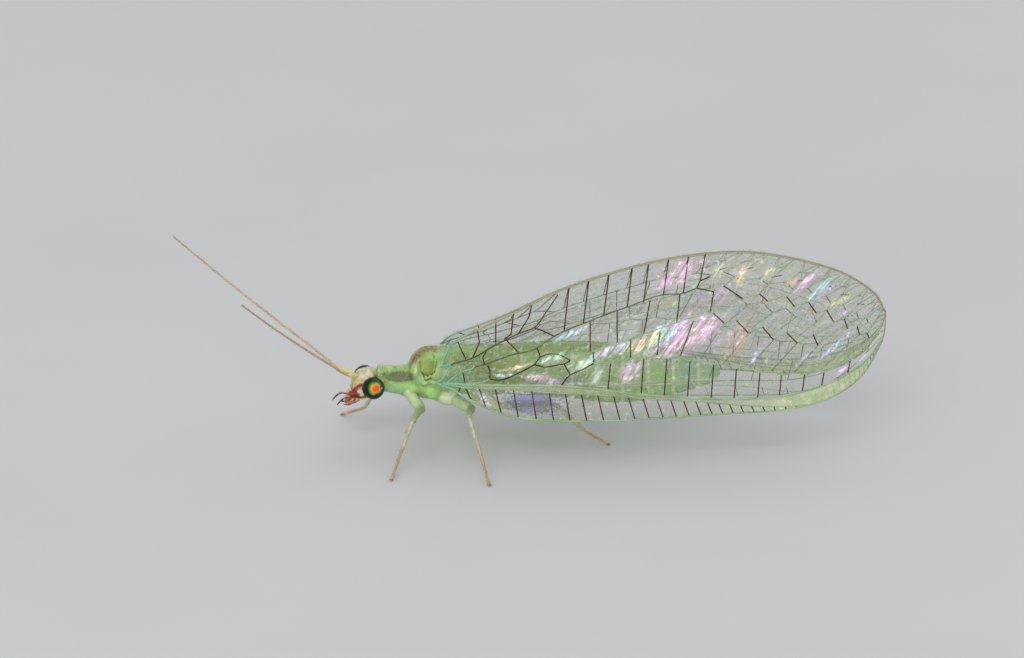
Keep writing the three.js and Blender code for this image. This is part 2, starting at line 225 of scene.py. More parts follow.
def egg(centre, radii, turn_y=0.0, sides=24):
    """Closed egg shape, which may be turned about the crosswise axis."""
    polar = np.linspace(0.02, np.pi - 0.02, sides // 2 + 1)
    turn = np.linspace(0, 2 * np.pi, sides, endpoint=False)
    x = -np.cos(polar)[:, None] * np.ones(sides)
    y = np.sin(polar)[:, None] * np.cos(turn)
    z = np.sin(polar)[:, None] * np.sin(turn)
    points = np.stack([x * radii[0], y * radii[1], z * radii[2]], axis=-1)
    c, s = math.cos(turn_y), math.sin(turn_y)
    turned = points @ np.array([[c, 0, -s], [0, 1, 0], [s, 0, c]])
    return skin_rings(turned + np.asarray(centre))


def unit(vectors):
    return vectors / np.linalg.norm(vectors, axis=-1, keepdims=True)


def frames_along(path):
    """Two unit vectors square to the path at each of its points, carried along without twist."""
    ahead = unit(np.gradient(path, axis=0))
    side = np.cross(ahead[0], (0.13, 0.21, 0.97))
    sides = []
    for direction in ahead:
        side = unit(side - direction * (side @ direction))
        sides.append(side)
    sides = np.array(sides)
    return sides, np.cross(ahead, sides)


def sleeve(path, radii, sides=12, flatness=1.0):
    """Closed tube along a path, with its radius at each point."""
    across, up = frames_along(path)
    turn = np.linspace(0, 2 * np.pi, sides, endpoint=False)[:, None]
    ring = np.cos(turn) * across[:, None] + np.sin(turn) * up[:, None] * flatness
    return skin_rings(path[:, None] + ring * radii[:, None, None])


def gather(parts):
    """One set of points and faces from several."""
    points, faces, start = [], [], 0
    for part_points, part_faces in parts:
        points.append(part_points)
        faces.extend([[corner + start for corner in face] for face in part_faces])
        start += len(part_points)
    return np.concatenate(points), faces


def vectors_of(items, name):
    """One vector for each item of a mesh."""
    vectors = np.empty(len(items) * 3)
    items.foreach_get(name, vectors)
    return vectors.reshape(-1, 3)


def fuse(parts, grain, smoothing):
    """Fuses overlapping closed parts into one even skin and smooths it."""
    points, faces = gather(parts)
    mesh = bpy.data.meshes.new("fusing")
    mesh.from_pydata(points.tolist(), [], faces)
    carrier = bpy.data.objects.new("fusing", mesh)
    bpy.context.scene.collection.objects.link(carrier)
    remesh = carrier.modifiers.new("fuse", "REMESH")
    remesh.mode = "VOXEL"
    remesh.voxel_size = grain
    soften = carrier.modifiers.new("soften", "SMOOTH")
    soften.factor = 0.5
    soften.iterations = smoothing
    graph = bpy.context.evaluated_depsgraph_get()
    fused = bpy.data.meshes.new_from_object(carrier.evaluated_get(graph))
    bpy.data.objects.remove(carrier)
    faces = [list(face.vertices) for face in fused.polygons]
    return vectors_of(fused.vertices, "co"), faces, vectors_of(fused.vertices, "normal")


def make_piece(name, points, faces, material, replaced, marks=None, plan=None, tidy=True,
               plan_name="plan"):
    """A piece in metres that rides on the body. Marks are values kept at its points."""
    mesh = bpy.data.meshes.new(name)
    spots = (np.asarray(points) + hinge_place) * metres
    mesh.from_pydata(spots.tolist(), [], faces)
    for mark, values in (marks or {}).items():
        layer = mesh.attributes.new(mark, "FLOAT", "POINT")
        layer.data.foreach_set("value", np.asarray(values, np.float32))
    if plan is not None:
        layer = mesh.uv_layers.new(name=plan_name)
        corner = np.empty(len(mesh.loops), np.int32)
        mesh.loops.foreach_get("vertex_index", corner)
        layer.data.foreach_set("uv", np.asarray(plan, np.float32)[corner].ravel())
    if tidy:
        turned = bmesh.new()
        turned.from_mesh(mesh)
        bmesh.ops.recalc_face_normals(turned, faces=turned.faces)
        turned.to_mesh(mesh)
        turned.free()
    mesh.polygons.foreach_set("use_smooth", [True] * len(mesh.polygons))
    mesh.materials.append(material)
    piece = bpy.data.objects.new(name, mesh)
    bpy.context.scene.collection.objects.link(piece)
    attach(piece, "root")
    if replaced:
        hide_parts(*replaced)


def nearness(points, centre, radii):
    """1 at the middle of a soft egg, 0.37 at its rim, and 0 far from it."""
    away = (points - np.asarray(centre)) / np.asarray(radii)
    return np.exp(-(away ** 2).sum(axis=1))


def near_line(points, stops, width):
    """1 on a line through the stops, falling off over its width."""
    line = path_through(stops, 24)
    best = np.full(len(points), 1e9)
    for start, end in zip(line[:-1], line[1:]):
        along = end - start
        share = np.clip(((points - start) @ along) / (along @ along), 0, 1)
        gap = points - (start + share[:, None] * along)
        best = np.minimum(best, (gap ** 2).sum(axis=1))
    return np.exp(-best / width ** 2)


neck = [(-2.62, 2.12, 0.2, 0.2), (-2.2, 2.14, 0.27, 0.27), (-1.9, 2.12, 0.34, 0.34)]
pronotum = [
    (-2.42, 2.2, 0.1, 0.12), (-2.37, 2.2, 0.35, 0.32), (-2.2, 2.17, 0.42, 0.39),
    (-1.95, 2.14, 0.47, 0.44), (-1.7, 2.12, 0.51, 0.46), (-1.45, 2.1, 0.5, 0.51),
    (-1.25, 2.15, 0.46, 0.49), (-0.9, 2.22, 0.42, 0.44),
]
mesothorax = [
    (-1.42, 2.3, 0.1, 0.1), (-1.32, 2.32, 0.42, 0.43), (-1.1, 2.34, 0.62, 0.72),
    (-0.84, 2.37, 0.77, 0.85), (-0.5, 2.37, 0.82, 0.87), (-0.15, 2.38, 0.76, 0.86),
    (0.25, 2.4, 0.66, 0.78),
]
metathorax = [
    (-0.2, 2.4, 0.5, 0.5), (0.1, 2.4, 0.66, 0.78), (0.5, 2.44, 0.66, 0.8), (1.0, 2.5, 0.6, 0.76),
    (1.3, 2.52, 0.54, 0.68),
]
abdomen = [
    (1.0, 2.52, 0.46, 0.62), (1.45, 2.54, 0.54, 0.7), (2.0, 2.55, 0.57, 0.76),
    (2.8, 2.5, 0.63, 0.86), (3.8, 2.46, 0.67, 0.93), (4.95, 2.36, 0.7, 0.98),
    (6.1, 2.32, 0.65, 0.92), (7.2, 2.29, 0.49, 0.68), (8.1, 2.31, 0.3, 0.42),
    (8.55, 2.36, 0.19, 0.27), (8.74, 2.4, 0.07, 0.11),
]
# Each lobe: middle, radii and lean. All but those on the median plane stand on both sides.
lobes = [
    ((-0.76, 0.56, 2.72), (0.31, 0.28, 0.34), 0.15),
    ((-0.3, 0.5, 2.76), (0.3, 0.26, 0.3), -0.2),
    ((-1.02, 0.3, 2.68), (0.26, 0.26, 0.3), 0.5),
    ((-0.95, 0.0, 2.9), (0.24, 0.2, 0.24), 0.6),
    ((0.02, 0.0, 3.08), (0.22, 0.26, 0.18), 0.0),
    ((-0.56, 0.6, 1.93), (0.3, 0.24, 0.27), 0.3),
    ((-0.1, 0.5, 1.72), (0.42, 0.27, 0.29), 0.15),
    ((-0.82, 0.78, 2.29), (0.12, 0.1, 0.1), 0.0),
    ((-1.2, 0.42, 1.96), (0.2, 0.2, 0.22), 0.0),
    ((-0.36, 0.66, 2.36), (0.3, 0.17, 0.24), 0.0),
    ((0.42, 0.42, 2.98), (0.28, 0.24, 0.26), -0.1),
    ((0.78, 0.3, 3.02), (0.24, 0.24, 0.24), -0.2),
    ((0.5, 0.54, 2.2), (0.34, 0.16, 0.3), 0.1),
    ((0.86, 0.46, 1.84), (0.3, 0.2, 0.3), 0.3),
    ((1.22, 0.26, 2.96), (0.24, 0.26, 0.24), 0.0),
    ((8.5, 0.1, 2.46), (0.2, 0.1, 0.15), -0.1),
    ((8.45, 0.08, 2.26), (0.2, 0.09, 0.11), 0.15),
]
trunk_grain = 0.034


def both_sides(middle, radii, lean):
    x, y, z = middle
    sides = (-1, 1) if y else (1,)
    return [egg((x, side * y, z), radii, lean) for side in sides]


trunk_parts = [trunk_part(stops) for stops in (neck, pronotum, mesothorax, metathorax)]
trunk_parts.append(trunk_part(abdomen, 160, 56))
trunk_parts += [part for lobe in lobes for part in both_sides(*lobe)]
for side in (-1, 1):
    strap = path_through([(-0.7, side * 0.74, 2.32), (-0.58, side * 0.98, 2.4),
                          (-0.42, side * 1.24, 2.46)], 12)
    trunk_parts.append(sleeve(strap, np.linspace(0.1, 0.05, 12), 14))
trunk_points, trunk_faces, trunk_normals = fuse(trunk_parts, trunk_grain, 5)

abdomen_front, abdomen_length, abdomen_segments = 1.42, 7.38, 9
crease_depth = 0.035
pleat_height = 2.24
lobe_middle, lobe_half_long, lobe_half_high = (-0.72, 2.87), 0.27, 0.33
plate_seams = [
    [(-1.12, 0.3, 3.0), (-1.1, 0.6, 2.6), (-1.04, 0.7, 2.2)],
    [(-0.6, 0.84, 2.22), (-0.2, 0.84, 2.2), (0.3, 0.7, 2.16)],
    [(-0.26, 0.76, 2.2), (-0.24, 0.7, 1.9), (-0.3, 0.6, 1.6)],
    [(0.24, 0.66, 3.0), (0.3, 0.68, 2.6), (0.36, 0.68, 2.2)],
]
seam_depth = 0.03


def fold(points):
    """The points with the left side laid over the right."""
    x, y, z = points.T
    return np.column_stack([x, np.abs(y), z])


def on_abdomen(x):
    """Place along the abdomen, counted in segments, and the share of its own segment."""
    place = (x - abdomen_front) / abdomen_length * abdomen_segments
    return place, place - np.floor(place)


def lobe_ring(folded):
    """1 on the groove round the olive muscle lobe of the shoulder."""
    x, y, z = folded.T
    out = np.hypot((x - lobe_middle[0]) / lobe_half_long, (z - lobe_middle[1]) / lobe_half_high)
    return np.exp(-((out - 1) / 0.14) ** 2) * (y > 0.4)


def crease_trunk(points, normals):
    """Creases between abdomen segments, the soft fold low on each flank, and neck wrinkles."""
    x, y, z = points.T
    place, share = on_abdomen(x)
    inside = (place > 0.2) & (place < abdomen_segments)
    lap = np.exp(-(share / 0.1) ** 2) + np.exp(-((1 - share) / 0.035) ** 2)
    pleat = np.exp(-((z - pleat_height - 0.03 * np.sin(place * 2 * np.pi)) / 0.05) ** 2)
    pleat *= np.abs(y) > 0.25
    depth = np.where(inside, crease_depth * (lap + 0.8 * pleat - 0.35 * share), 0.0)
    neck_fold = 0.012 * np.sin((x + 2.3) * 60) * (x < -2.05)
    saddle = 0.05 * nearness(points, (-1.78, 0.0, 2.62), (0.07, 0.5, 0.3))
    median = 0.03 * np.exp(-(y / 0.05) ** 2) * (z > 2.7) * (x > -1.4) * (x < 1.2)
    folded = fold(points)
    seams = 0.035 * lobe_ring(folded)
    seams += sum(seam_depth * near_line(folded, seam, 0.03) for seam in plate_seams)
    spots = [Vector(point) for point in points]
    creased = np.array([noise.noise(spot * 5) + 0.6 * noise.noise(spot * 13) for spot in spots])
    fine = 0.014 * creased * np.where(x < 1.3, 1.0, 0.45)
    return points - normals * (depth + neck_fold + saddle + median + seams + fine)[:, None]


# Soft spots of each mark: middle, radii and strength.
trunk_spots = {
    "olive": [
        ((-0.72, 0.75, 2.85), (0.25, 0.3, 0.3), 1.0), ((0.42, 0.6, 3.0), (0.34, 0.4, 0.3), 1.0),
        ((-0.1, 0.8, 2.38), (0.5, 0.3, 0.15), 0.7)],
    "brown": [
        ((-2.1, 0.46, 2.47), (0.14, 0.2, 0.11), 0.8), ((-0.04, 0.82, 2.32), (0.06, 0.2, 0.05), 1.0)],
    "pale": [
        ((-1.1, 0.6, 2.66), (0.08, 0.25, 0.2), 0.6), ((0.0, 0.6, 1.7), (0.42, 0.35, 0.26), 1.1),
        ((-0.12, 0.8, 2.64), (0.14, 0.2, 0.2), 0.8), ((-1.9, 0.12, 2.62), (0.6, 0.3, 0.08), 0.65),
        ((-0.8, 0.86, 2.29), (0.14, 0.14, 0.11), 0.4), ((-0.5, 1.1, 2.42), (0.2, 0.25, 0.1), 0.5),
        ((0.9, 0.5, 1.8), (0.3, 0.3, 0.3), 0.5)],
    "teal": [
        ((-1.8, 0.45, 1.94), (0.42, 0.3, 0.12), 0.9), ((-0.37, 0.5, 3.25), (0.18, 0.3, 0.15), 1.1),
        ((-0.95, 0.75, 2.36), (0.12, 0.2, 0.14), 0.9), ((8.0, 0.3, 2.4), (0.9, 0.6, 0.7), 1.0)],
    "bright": [
        ((-0.54, 0.8, 1.94), (0.32, 0.3, 0.24), 1.0), ((-1.4, 0.5, 2.0), (0.5, 0.4, 0.25), 0.8),
        ((6.8, 0.4, 2.5), (1.7, 0.6, 0.9), 0.8)],
    "tan": [
        ((-2.09, 0.42, 2.18), (0.07, 0.1, 0.07), 0.8), ((0.05, 0.2, 3.3), (0.25, 0.3, 0.1), 0.5)],
    "moss": [((-1.66, 0.46, 2.38), (0.6, 0.25, 0.18), 1.25)],
    "lime": [
        ((1.6, 0.45, 2.4), (1.2, 0.6, 0.7), 1.0), ((4.5, 0.2, 3.3), (3.4, 0.4, 0.16), 0.8)],
}
hump = [(-1.3, 0.3, 2.88), (-1.08, 0.25, 3.12), (-0.85, 0.15, 3.3), (-0.55, 0.15, 3.36)]
brown_rims = [
    [(-0.92, 0.7, 2.66), (-0.76, 0.83, 2.4), (-0.6, 0.84, 2.5)],
    [(-0.76, 0.83, 2.4), (-0.7, 0.83, 2.3)],
    [(-1.37, 0.45, 2.92), (-1.32, 0.5, 2.7), (-1.25, 0.55, 2.46)],
]


def trunk_marks(points):
    folded = fold(points)
    marks = {name: sum(strength * nearness(folded, middle, radii) for middle, radii, strength in spots)
             for name, spots in trunk_spots.items()}
    marks["tan"] += 0.95 * near_line(folded, hump, 0.26)
    marks["brown"] += 0.45 * near_line(folded, hump, 0.2)
    x, z = folded[:, 0], folded[:, 2]
    behind = x > 1.5
    share = on_abdomen(x)[1]
    lines = [("brown", 0.9 * near_line(folded, rim, 0.04)) for rim in brown_rims]
    lines += [("brown", 0.52 * lobe_ring(folded)),
              ("pale", behind * 0.75 * np.exp(-((share - 0.08) / 0.1) ** 2)),
              ("pale", behind * 0.55 * np.exp(-((z - 2.2) / 0.14) ** 2))]
    for name, line in lines:
        marks[name] = np.maximum(marks[name], line)
    return {name: np.clip(values, 0, 1) for name, values in marks.items()}


def calc(tree, operation, *inputs, **settings):
    """One sum of numbers or sockets."""
    named = dict(enumerate(inputs))
    return node(tree, "ShaderNodeMath", named, operation=operation, **settings).outputs[0]


def new_effect(name, inputs, colours, values):
    """A shared effect with its sockets, and the outputs of its entry."""
    group = bpy.data.node_groups.new(name, "ShaderNodeTree")
    sockets = [(label, "INPUT", "Float") for label in inputs]
    sockets += [(label, "OUTPUT", "Color") for label in colours]
    sockets += [(label, "OUTPUT", "Float") for label in values]
    for label, way, kind in sockets:
        group.interface.new_socket(label, in_out=way, socket_type="NodeSocket" + kind)
    return group, node(group, "NodeGroupInput").outputs


def cuticle_grain():
    """Effect of every hard skin: fine pores and cloudy depth of tone, in millimetres."""
    group, entry = new_effect("cuticle_grain", ["Cloud Scale", "Pore Scale"], [],
                              ["Cloud", "Speckle", "Height"])
    place = scaled_place(group)
    pores = node(group, "ShaderNodeTexVoronoi", {"Vector": place, "Scale": entry["Pore Scale"]})
    fine = clouds(group, place, 14.0, 6.0)
    node(group, "NodeGroupOutput", {
        "Cloud": clouds(group, place, entry["Cloud Scale"], 5.0), "Speckle": fine,
        "Height": calc(group, "ADD", pores.outputs["Distance"], fine)})
    return group


grain_effect = cuticle_grain()


def lay_grain(tree, cloud_scale=3.0, pore_scale=38.0):
    """The outputs of the grain on one material."""
    scales = {"Cloud Scale": cloud_scale, "Pore Scale": pore_scale}
    return node(tree, "ShaderNodeGroup", scales, node_tree=grain_effect).outputs


def blend_in(tree, share, under, over):
    """Colours blended by a share. Either is a socket or a code."""
    under, over = (paint(colour) if isinstance(colour, str) else colour for colour in (under, over))
    inputs = {"Factor": share, 6: under, 7: over}
    return node(tree, "ShaderNodeMix", inputs, data_type="RGBA").outputs[2]


def kept_mark(tree, name):
    """A mark as it is kept at the points of the mesh."""
    return node(tree, "ShaderNodeAttribute", attribute_name=name).outputs["Fac"]


def respan(tree, value, low, high, to_low=0.0, to_high=1.0, **settings):
    """A value carried from one span to another."""
    inputs = {"Value": value, "From Min": low, "From Max": high, "To Min": to_low, "To Max": to_high}
    return node(tree, "ShaderNodeMapRange", inputs, **settings).outputs[0]


def mark_share(tree, name, speckle, ragged):
    """A mark of the mesh with its edge broken up by a speckle."""
    rough = calc(tree, "SUBTRACT", speckle, 0.5)
    broken = calc(tree, "MULTIPLY_ADD", rough, ragged, kept_mark(tree, name))
    return respan(tree, broken, 0.18, 0.75, interpolation_type="SMOOTHSTEP")


def lay_marks(tree, colour, speckle, layers):
    """Lays marks over a colour, one on another. Each layer: mark, colour code and raggedness."""
    for name, code, ragged in layers:
        colour = blend_in(tree, mark_share(tree, name, speckle, ragged), colour, code)
    return colour


def raised(tree, height, depth):
    """Bump of the given depth in millimetres."""
    inputs = {"Height": height, "Strength": 0.6, "Distance": depth * metres}
    return node(tree, "ShaderNodeBump", inputs).outputs["Normal"]


def finish_skin(tree, colour, grain, roughness, relief, lit, tint, reach):
    """A skin with its relief in millimetres, which light enters by a share, tinted, to a reach."""
    finish_surface(
        tree, Base_Color=colour, Roughness=roughness, Subsurface_Weight=lit, Subsurface_Radius=tint,
        Subsurface_Scale=reach * metres, Normal=raised(tree, grain["Height"], relief))


def trunk_material():
    material, tree = blank_material("green_cuticle")
    grain = lay_grain(tree)
    colour = shades(tree, grain["Cloud"], [(0.3, "80a65a"), (0.5, "94ba6c"), (0.7, "a9c884")])
    colour = lay_marks(tree, colour, grain["Speckle"], [
        ("bright", "a0cc78", 0.6), ("teal", "98c69c", 0.6), ("pale", "d6e2bc", 0.6),
        ("lime", "86a03e", 0.6), ("olive", "8c9c4e", 0.6), ("moss", "5e6c40", 0.6),
        ("tan", "8f7a48", 1.6), ("brown", "5e4422", 1.6)])
    finish_skin(tree, colour, grain, 0.38, 0.012, 0.25, (0.5, 0.9, 0.3), 0.4)
    return material


trunk_points = crease_trunk(trunk_points, trunk_normals)
make_piece("trunk_skin", trunk_points, trunk_faces, trunk_material(),
           ("prothorax", "mesothorax", "metathorax", "abdomen"), trunk_marks(trunk_points))

# The coat of the trunk: fine pale hairs, thick on the thorax and sparse on the abdomen, which
# lean backward. Each is a three-sided spike, and on the bake plan a patch at its root's place.
coat_count = 3400
hair_thickness = 0.004
patch_half = 0.0015
seeded = np.random.default_rng(7)


def bristles(roots, ways, lengths, thickness):
    """Closed three-sided spikes, all as one set of points and faces."""
    ways = unit(ways)
    helper = np.where(np.abs(ways[:, 2:3]) < 0.8, [[0.0, 0.0, 1.0]], [[1.0, 0.0, 0.0]])
    across = unit(np.cross(ways, helper))
    up = np.cross(ways, across)
    corners = [roots + thickness * (across * math.cos(turn) + up * math.sin(turn))
               for turn in (0.0, 2 * math.pi / 3, 4 * math.pi / 3)]
    tips = roots + ways * lengths[:, None]
    points = np.stack([*corners, tips], axis=1).reshape(-1, 3)
    start = (np.arange(len(roots)) * 4)[:, None, None]
    faces = (start + np.array([[0, 2, 1], [0, 1, 3], [1, 2, 3], [2, 0, 3]])).reshape(-1, 3)
    return points, faces.tolist()


def hair_material():
    material, tree = blank_material("pale_hair")
    colour = shades(tree, lay_grain(tree, 6.0, 50.0)["Cloud"], [(0.3, "c8cfae"), (0.7, "e4e6d2")])
    finish_surface(tree, Base_Color=colour, Roughness=0.5)
    return material


thickly = np.where(trunk_points[:, 0] < 1.3, 1.0, 0.16)
chosen = seeded.choice(len(trunk_points), coat_count, replace=False, p=thickly / thickly.sum())
coat_roots, coat_out = trunk_points[chosen], trunk_normals[chosen]
coat_ways = coat_out + (0.75, 0.0, 0.0) + seeded.normal(0, 0.15, (coat_count, 3))
coat_lengths = seeded.uniform(0.08, 0.17, coat_count)
coat_points, coat_faces = bristles(coat_roots - coat_out * 0.01, coat_ways, coat_lengths,
                                   hair_thickness)
unrolled = np.column_stack([
    (coat_roots[:, 0] - trunk_points[:, 0].min()) / np.ptp(trunk_points[:, 0]),
    np.arctan2(coat_roots[:, 1], coat_roots[:, 2] - pleat_height) / (2 * np.pi) + 0.5])
patch = patch_half * np.array([(-1.0, -1.0), (1.0, -1.0), (0.0, 1.0), (0.0, 0.0)])
coat_plan = ((0.01 + 0.98 * unrolled)[:, None] + patch).reshape(-1, 2)
make_piece("trunk_hair", coat_points, coat_faces, hair_material(), None,
           plan=coat_plan, tidy=False, plan_name="OFBake")

# The head: a cream capsule, turned a little to the animal's left, with sockets for the eyes and
# feelers, red stripes down the cheeks and a red face plate over the mouth. Made as the trunk is.
head_place = np.array([-2.7, 0.0, 2.05])
head_turn = math.radians(20)


def from_head(points):
    """Head measures (forward is -X) set in the animal's own."""
    c, s = math.cos(head_turn), math.sin(head_turn)
    turn = np.array([[c, s, 0], [-s, c, 0], [0, 0, 1]])
    return np.asarray(points, float) @ turn + head_place


head_eggs = [
    ((0.06, 0.0, 0.06), (0.4, 0.5, 0.4), 0.0), ((-0.14, 0.0, 0.04), (0.36, 0.42, 0.3), 0.0),
    ((0.1, 0.0, 0.22), (0.3, 0.36, 0.26), 0.0), ((0.0, 0.2, 0.2), (0.32, 0.26, 0.2), 0.0),
    ((-0.34, 0.13, 0.16), (0.14, 0.13, 0.15), 0.0), ((-0.37, 0.0, -0.12), (0.18, 0.26, 0.24), 0.4),
    ((-0.47, 0.0, -0.37), (0.22, 0.23, 0.17), 0.5), ((-0.24, 0.2, -0.32), (0.26, 0.17, 0.2), 0.2),
    ((0.02, 0.14, -0.3), (0.3, 0.2, 0.16), 0.0),
]
head_grain = 0.018
head_parts = [part for shape in head_eggs for part in both_sides(*shape)]
head_points, head_faces, head_normals = fuse(head_parts, head_grain, 6)


def crease_head(points, normals):
    folded = fold(points)
    socket = near_line(folded, [(-0.4, 0.04, 0.26), (-0.5, 0.14, 0.18), (-0.4, 0.26, 0.14)], 0.03)
    face = near_line(folded, [(-0.6, 0.0, -0.22), (-0.54, 0.16, -0.22), (-0.42, 0.27, -0.28)], 0.025)
    crown = near_line(folded, [(-0.3, 0.0, 0.45), (0.1, 0.0, 0.48), (0.4, 0.0, 0.3)], 0.025)
    return points - normals * (0.03 * socket + 0.03 * face + 0.02 * crown)[:, None]


def head_marks(points):
    folded = fold(points)
    stripe = near_line(folded, [(-0.31, 0.35, 0.05), (-0.46, 0.26, -0.08), (-0.6, 0.15, -0.3)], 0.055)
    bar = near_line(folded, [(-0.14, 0.34, -0.38), (-0.36, 0.3, -0.38), (-0.56, 0.22, -0.35)], 0.05)
    edge = near_line(folded, [(-0.5, 0.05, 0.05), (-0.55, 0.09, -0.12), (-0.6, 0.13, -0.28)], 0.022)
    cheek = nearness(folded, (-0.48, 0.27, -0.26), (0.19, 0.16, 0.2))
    lip = nearness(folded, (-0.6, 0.1, -0.4), (0.18, 0.2, 0.17))
    flesh = nearness(folded, (-0.39, 0.32, -0.2), (0.05, 0.06, 0.035))
    rim = near_line(folded, [(-0.04, 0.44, 0.28), (-0.25, 0.43, 0.15), (-0.31, 0.42, -0.06)], 0.045)
    red = np.clip(stripe + 0.9 * cheek + 0.8 * edge + 0.7 * lip - flesh, 0, 1)
    brown = np.clip(0.7 * rim + nearness(folded, (0.2, 0.4, 0.3), (0.16, 0.12, 0.14)), 0, 1)
    yellow = nearness(folded, (-0.45, 0.16, 0.16), (0.2, 0.2, 0.2))
    green = nearness(folded, (0.4, 0.0, 0.1), (0.2, 0.5, 0.5))
    return {"red": red, "brown": 0.8 * brown, "yellow": yellow, "bright": green,
            "deep": bar + 0.5 * cheek * (points[:, 2] < -0.3)}


def head_material():
    material, tree = blank_material("cream_head")
    grain = lay_grain(tree, 5.0, 60.0)
    colour = shades(tree, grain["Cloud"], [(0.34, "a29a76"), (0.46, "bab48e"), (0.64, "dcd6ba")])
    colour = lay_marks(tree, colour, grain["Speckle"], [
        ("bright", "a3bf86", 0.5), ("yellow", "c6b878", 0.5), ("brown", "946044", 0.5),
        ("red", "922812", 0.5), ("deep", "5c1008", 0.5)])
    finish_skin(tree, colour, grain, 0.34, 0.01, 0.2, (0.8, 0.6, 0.3), 0.3)
    return material


head_points = crease_head(head_points, head_normals)
make_piece("head_capsule", from_head(head_points), head_faces, head_material(),
           ("head",), head_marks(head_points))

# The eyes: two tightly curved domes of facets. Their golden sheen shifts with the angle of view and is
# painted fixed as seen from the camera's side: an orange centre where they face the watcher, ringed
# green and then black toward the rim, with a painted violet reflection and a painted white glint.
# Each sits sunk in its socket.
eye_radius = 0.365
eye_middles = {"left": (0.04, -0.52, -0.06), "right": (0.12, 0.52, -0.01)}
facets_per_mm = 42.0


def eye_marks(points, centre, side):
    # The colour rings are painted sheen, centred on the direction that faces the camera's side.
    gaze = np.array([-0.1, side * 0.93, 0.31])
    out = (points - centre) / eye_radius
    across = np.linalg.norm(np.cross(out, unit(gaze)), axis=1)
    return {"ring": np.where(out @ gaze > 0, across, 1.0),
            # A painted reflection of the lamp, dark violet, with a painted white glint at its middle.
            "painted_reflection": nearness(out, (0.48, side * 0.83, 0.24), (0.2, 0.5, 0.25)),
            "painted_glint": nearness(out, (0.49, side * 0.83, 0.22), (0.05, 0.3, 0.05))}


def eye_material():
    material, tree = blank_material("compound_eye")
    place = scaled_place(tree)
    cells = node(tree, "ShaderNodeTexVoronoi", {"Vector": place, "Scale": facets_per_mm})
    cloud = clouds(tree, place, 7.0, 4.0)
    ragged = calc(tree, "MULTIPLY_ADD", cloud, 0.5, kept_mark(tree, "ring"))
    # Painted sheen: orange where the eye faces the camera's side, then green, then black toward the rim.
    colour = shades(tree, calc(tree, "SUBTRACT", ragged, 0.25), [
        (0.0, "f4502c"), (0.28, "f05a22"), (0.35, "d8a02c"), (0.44, "8fa02a"),
        (0.57, "3f7a26"), (0.68, "15361a"), (0.8, "080f0a"), (1.0, "040504")])
    # Lays the painted violet reflection and the painted glint over the painted sheen.
    colour = lay_marks(tree, colour, cloud, [("painted_reflection", "4a4690", 0.2)])
    colour = blend_in(tree, kept_mark(tree, "painted_glint"), colour, "f4f6ff")
    finish_surface(
        tree, Base_Color=colour, Roughness=0.22, Specular_IOR_Level=0.22, Coat_Weight=0.12,
        Coat_Roughness=0.05, Normal=raised(tree, cells.outputs["Distance"], 0.006))
    return material


eye_finish = eye_material()
left_right = ((-1, "left"), (1, "right"))
for side, name in left_right:
    centre = np.array(eye_middles[name])
    dome, dome_faces = egg(centre, (eye_radius,) * 3, sides=72)
    make_piece(f"eye_dome_{name}", from_head(dome), dome_faces, eye_finish,
               (f"eye_{name}",), eye_marks(dome, centre, side))

# The mouth: upper lip, a pair of jaws that meet in a line below it, and two pairs of jointed
# palps, orange red at the root and dark at the tip. Each joint is a small turned sleeve.


def joint_radii(count, root, tip, waist=0.6, belly=0.1):
    """Radii of one limb joint: narrow at both ends and a little full in its middle."""
    t = np.linspace(0, 1, count)
    ends = np.minimum(1, waist + (1 - waist) * np.minimum(t, 1 - t) / 0.14)
    return (root + (tip - root) * t) * ends * (1 + belly * np.sin(np.pi * t))


jaw_parts = [
    egg((-0.6, 0.0, -0.44), (0.12, 0.17, 0.1), 0.7), egg((-0.66, 0.0, -0.53), (0.1, 0.13, 0.07), 0.9),
]
for side in (-1, 1):
    jaw_parts.append(sleeve(path_through(
        [(-0.36, side * 0.2, -0.48), (-0.56, side * 0.19, -0.58), (-0.72, side * 0.04, -0.63)], 12),
        np.linspace(0.1, 0.035, 12), 14, 0.8))
palps = [
    {"route": [(-0.48, 0.18, -0.46), (-0.62, 0.23, -0.42), (-0.8, 0.25, -0.38), (-0.95, 0.24, -0.44),
               (-1.11, 0.23, -0.6)], "radius": 0.029, "joints": 5},
    {"route": [(-0.46, 0.1, -0.54), (-0.6, 0.15, -0.64), (-0.74, 0.16, -0.65), (-0.88, 0.15, -0.61)],
     "radius": 0.03, "joints": 3},
]
joint_steps = 9
mouth_parts, mouth_dark = list(jaw_parts), [np.zeros(len(points)) for points, _ in jaw_parts]
for palp in palps:
    for side in (-1, 1):
        route = [(x, side * y, z) for x, y, z in palp["route"]]
        line = path_through(route, palp["joints"] * joint_steps + 1)
        for joint in range(palp["joints"]):
            stretch = line[joint * joint_steps:][:joint_steps + 1]
            radii = joint_radii(joint_steps + 1, palp["radius"], palp["radius"] * 0.9)
            if joint == palp["joints"] - 1:
                radii = radii * np.linspace(1, 0.35, joint_steps + 1)
            points, faces = sleeve(stretch, radii, 10)
            mouth_parts.append((points, faces))
            tip = joint / (palp["joints"] - 1)
            mouth_dark.append(np.full(len(points), tip if palp["joints"] == 5 else tip * 0.4))


def mouth_material():
    material, tree = blank_material("red_mouthparts")
    grain = lay_grain(tree, 8.0, 70.0)
    colour = shades(tree, grain["Cloud"], [(0.34, "853620"), (0.5, "a3603c"), (0.64, "c79c74")])
    colour = lay_marks(tree, colour, grain["Speckle"], [("dark", "3a2016", 0.3)])
    finish_skin(tree, colour, grain, 0.3, 0.006, 0.15, (0.8, 0.4, 0.2), 0.2)
    return material


mouth_points, mouth_faces = gather(mouth_parts)
make_piece("mouth_set", from_head(mouth_points), mouth_faces, mouth_material(),
           ("mouthparts",), {"dark": np.concatenate(mouth_dark)})

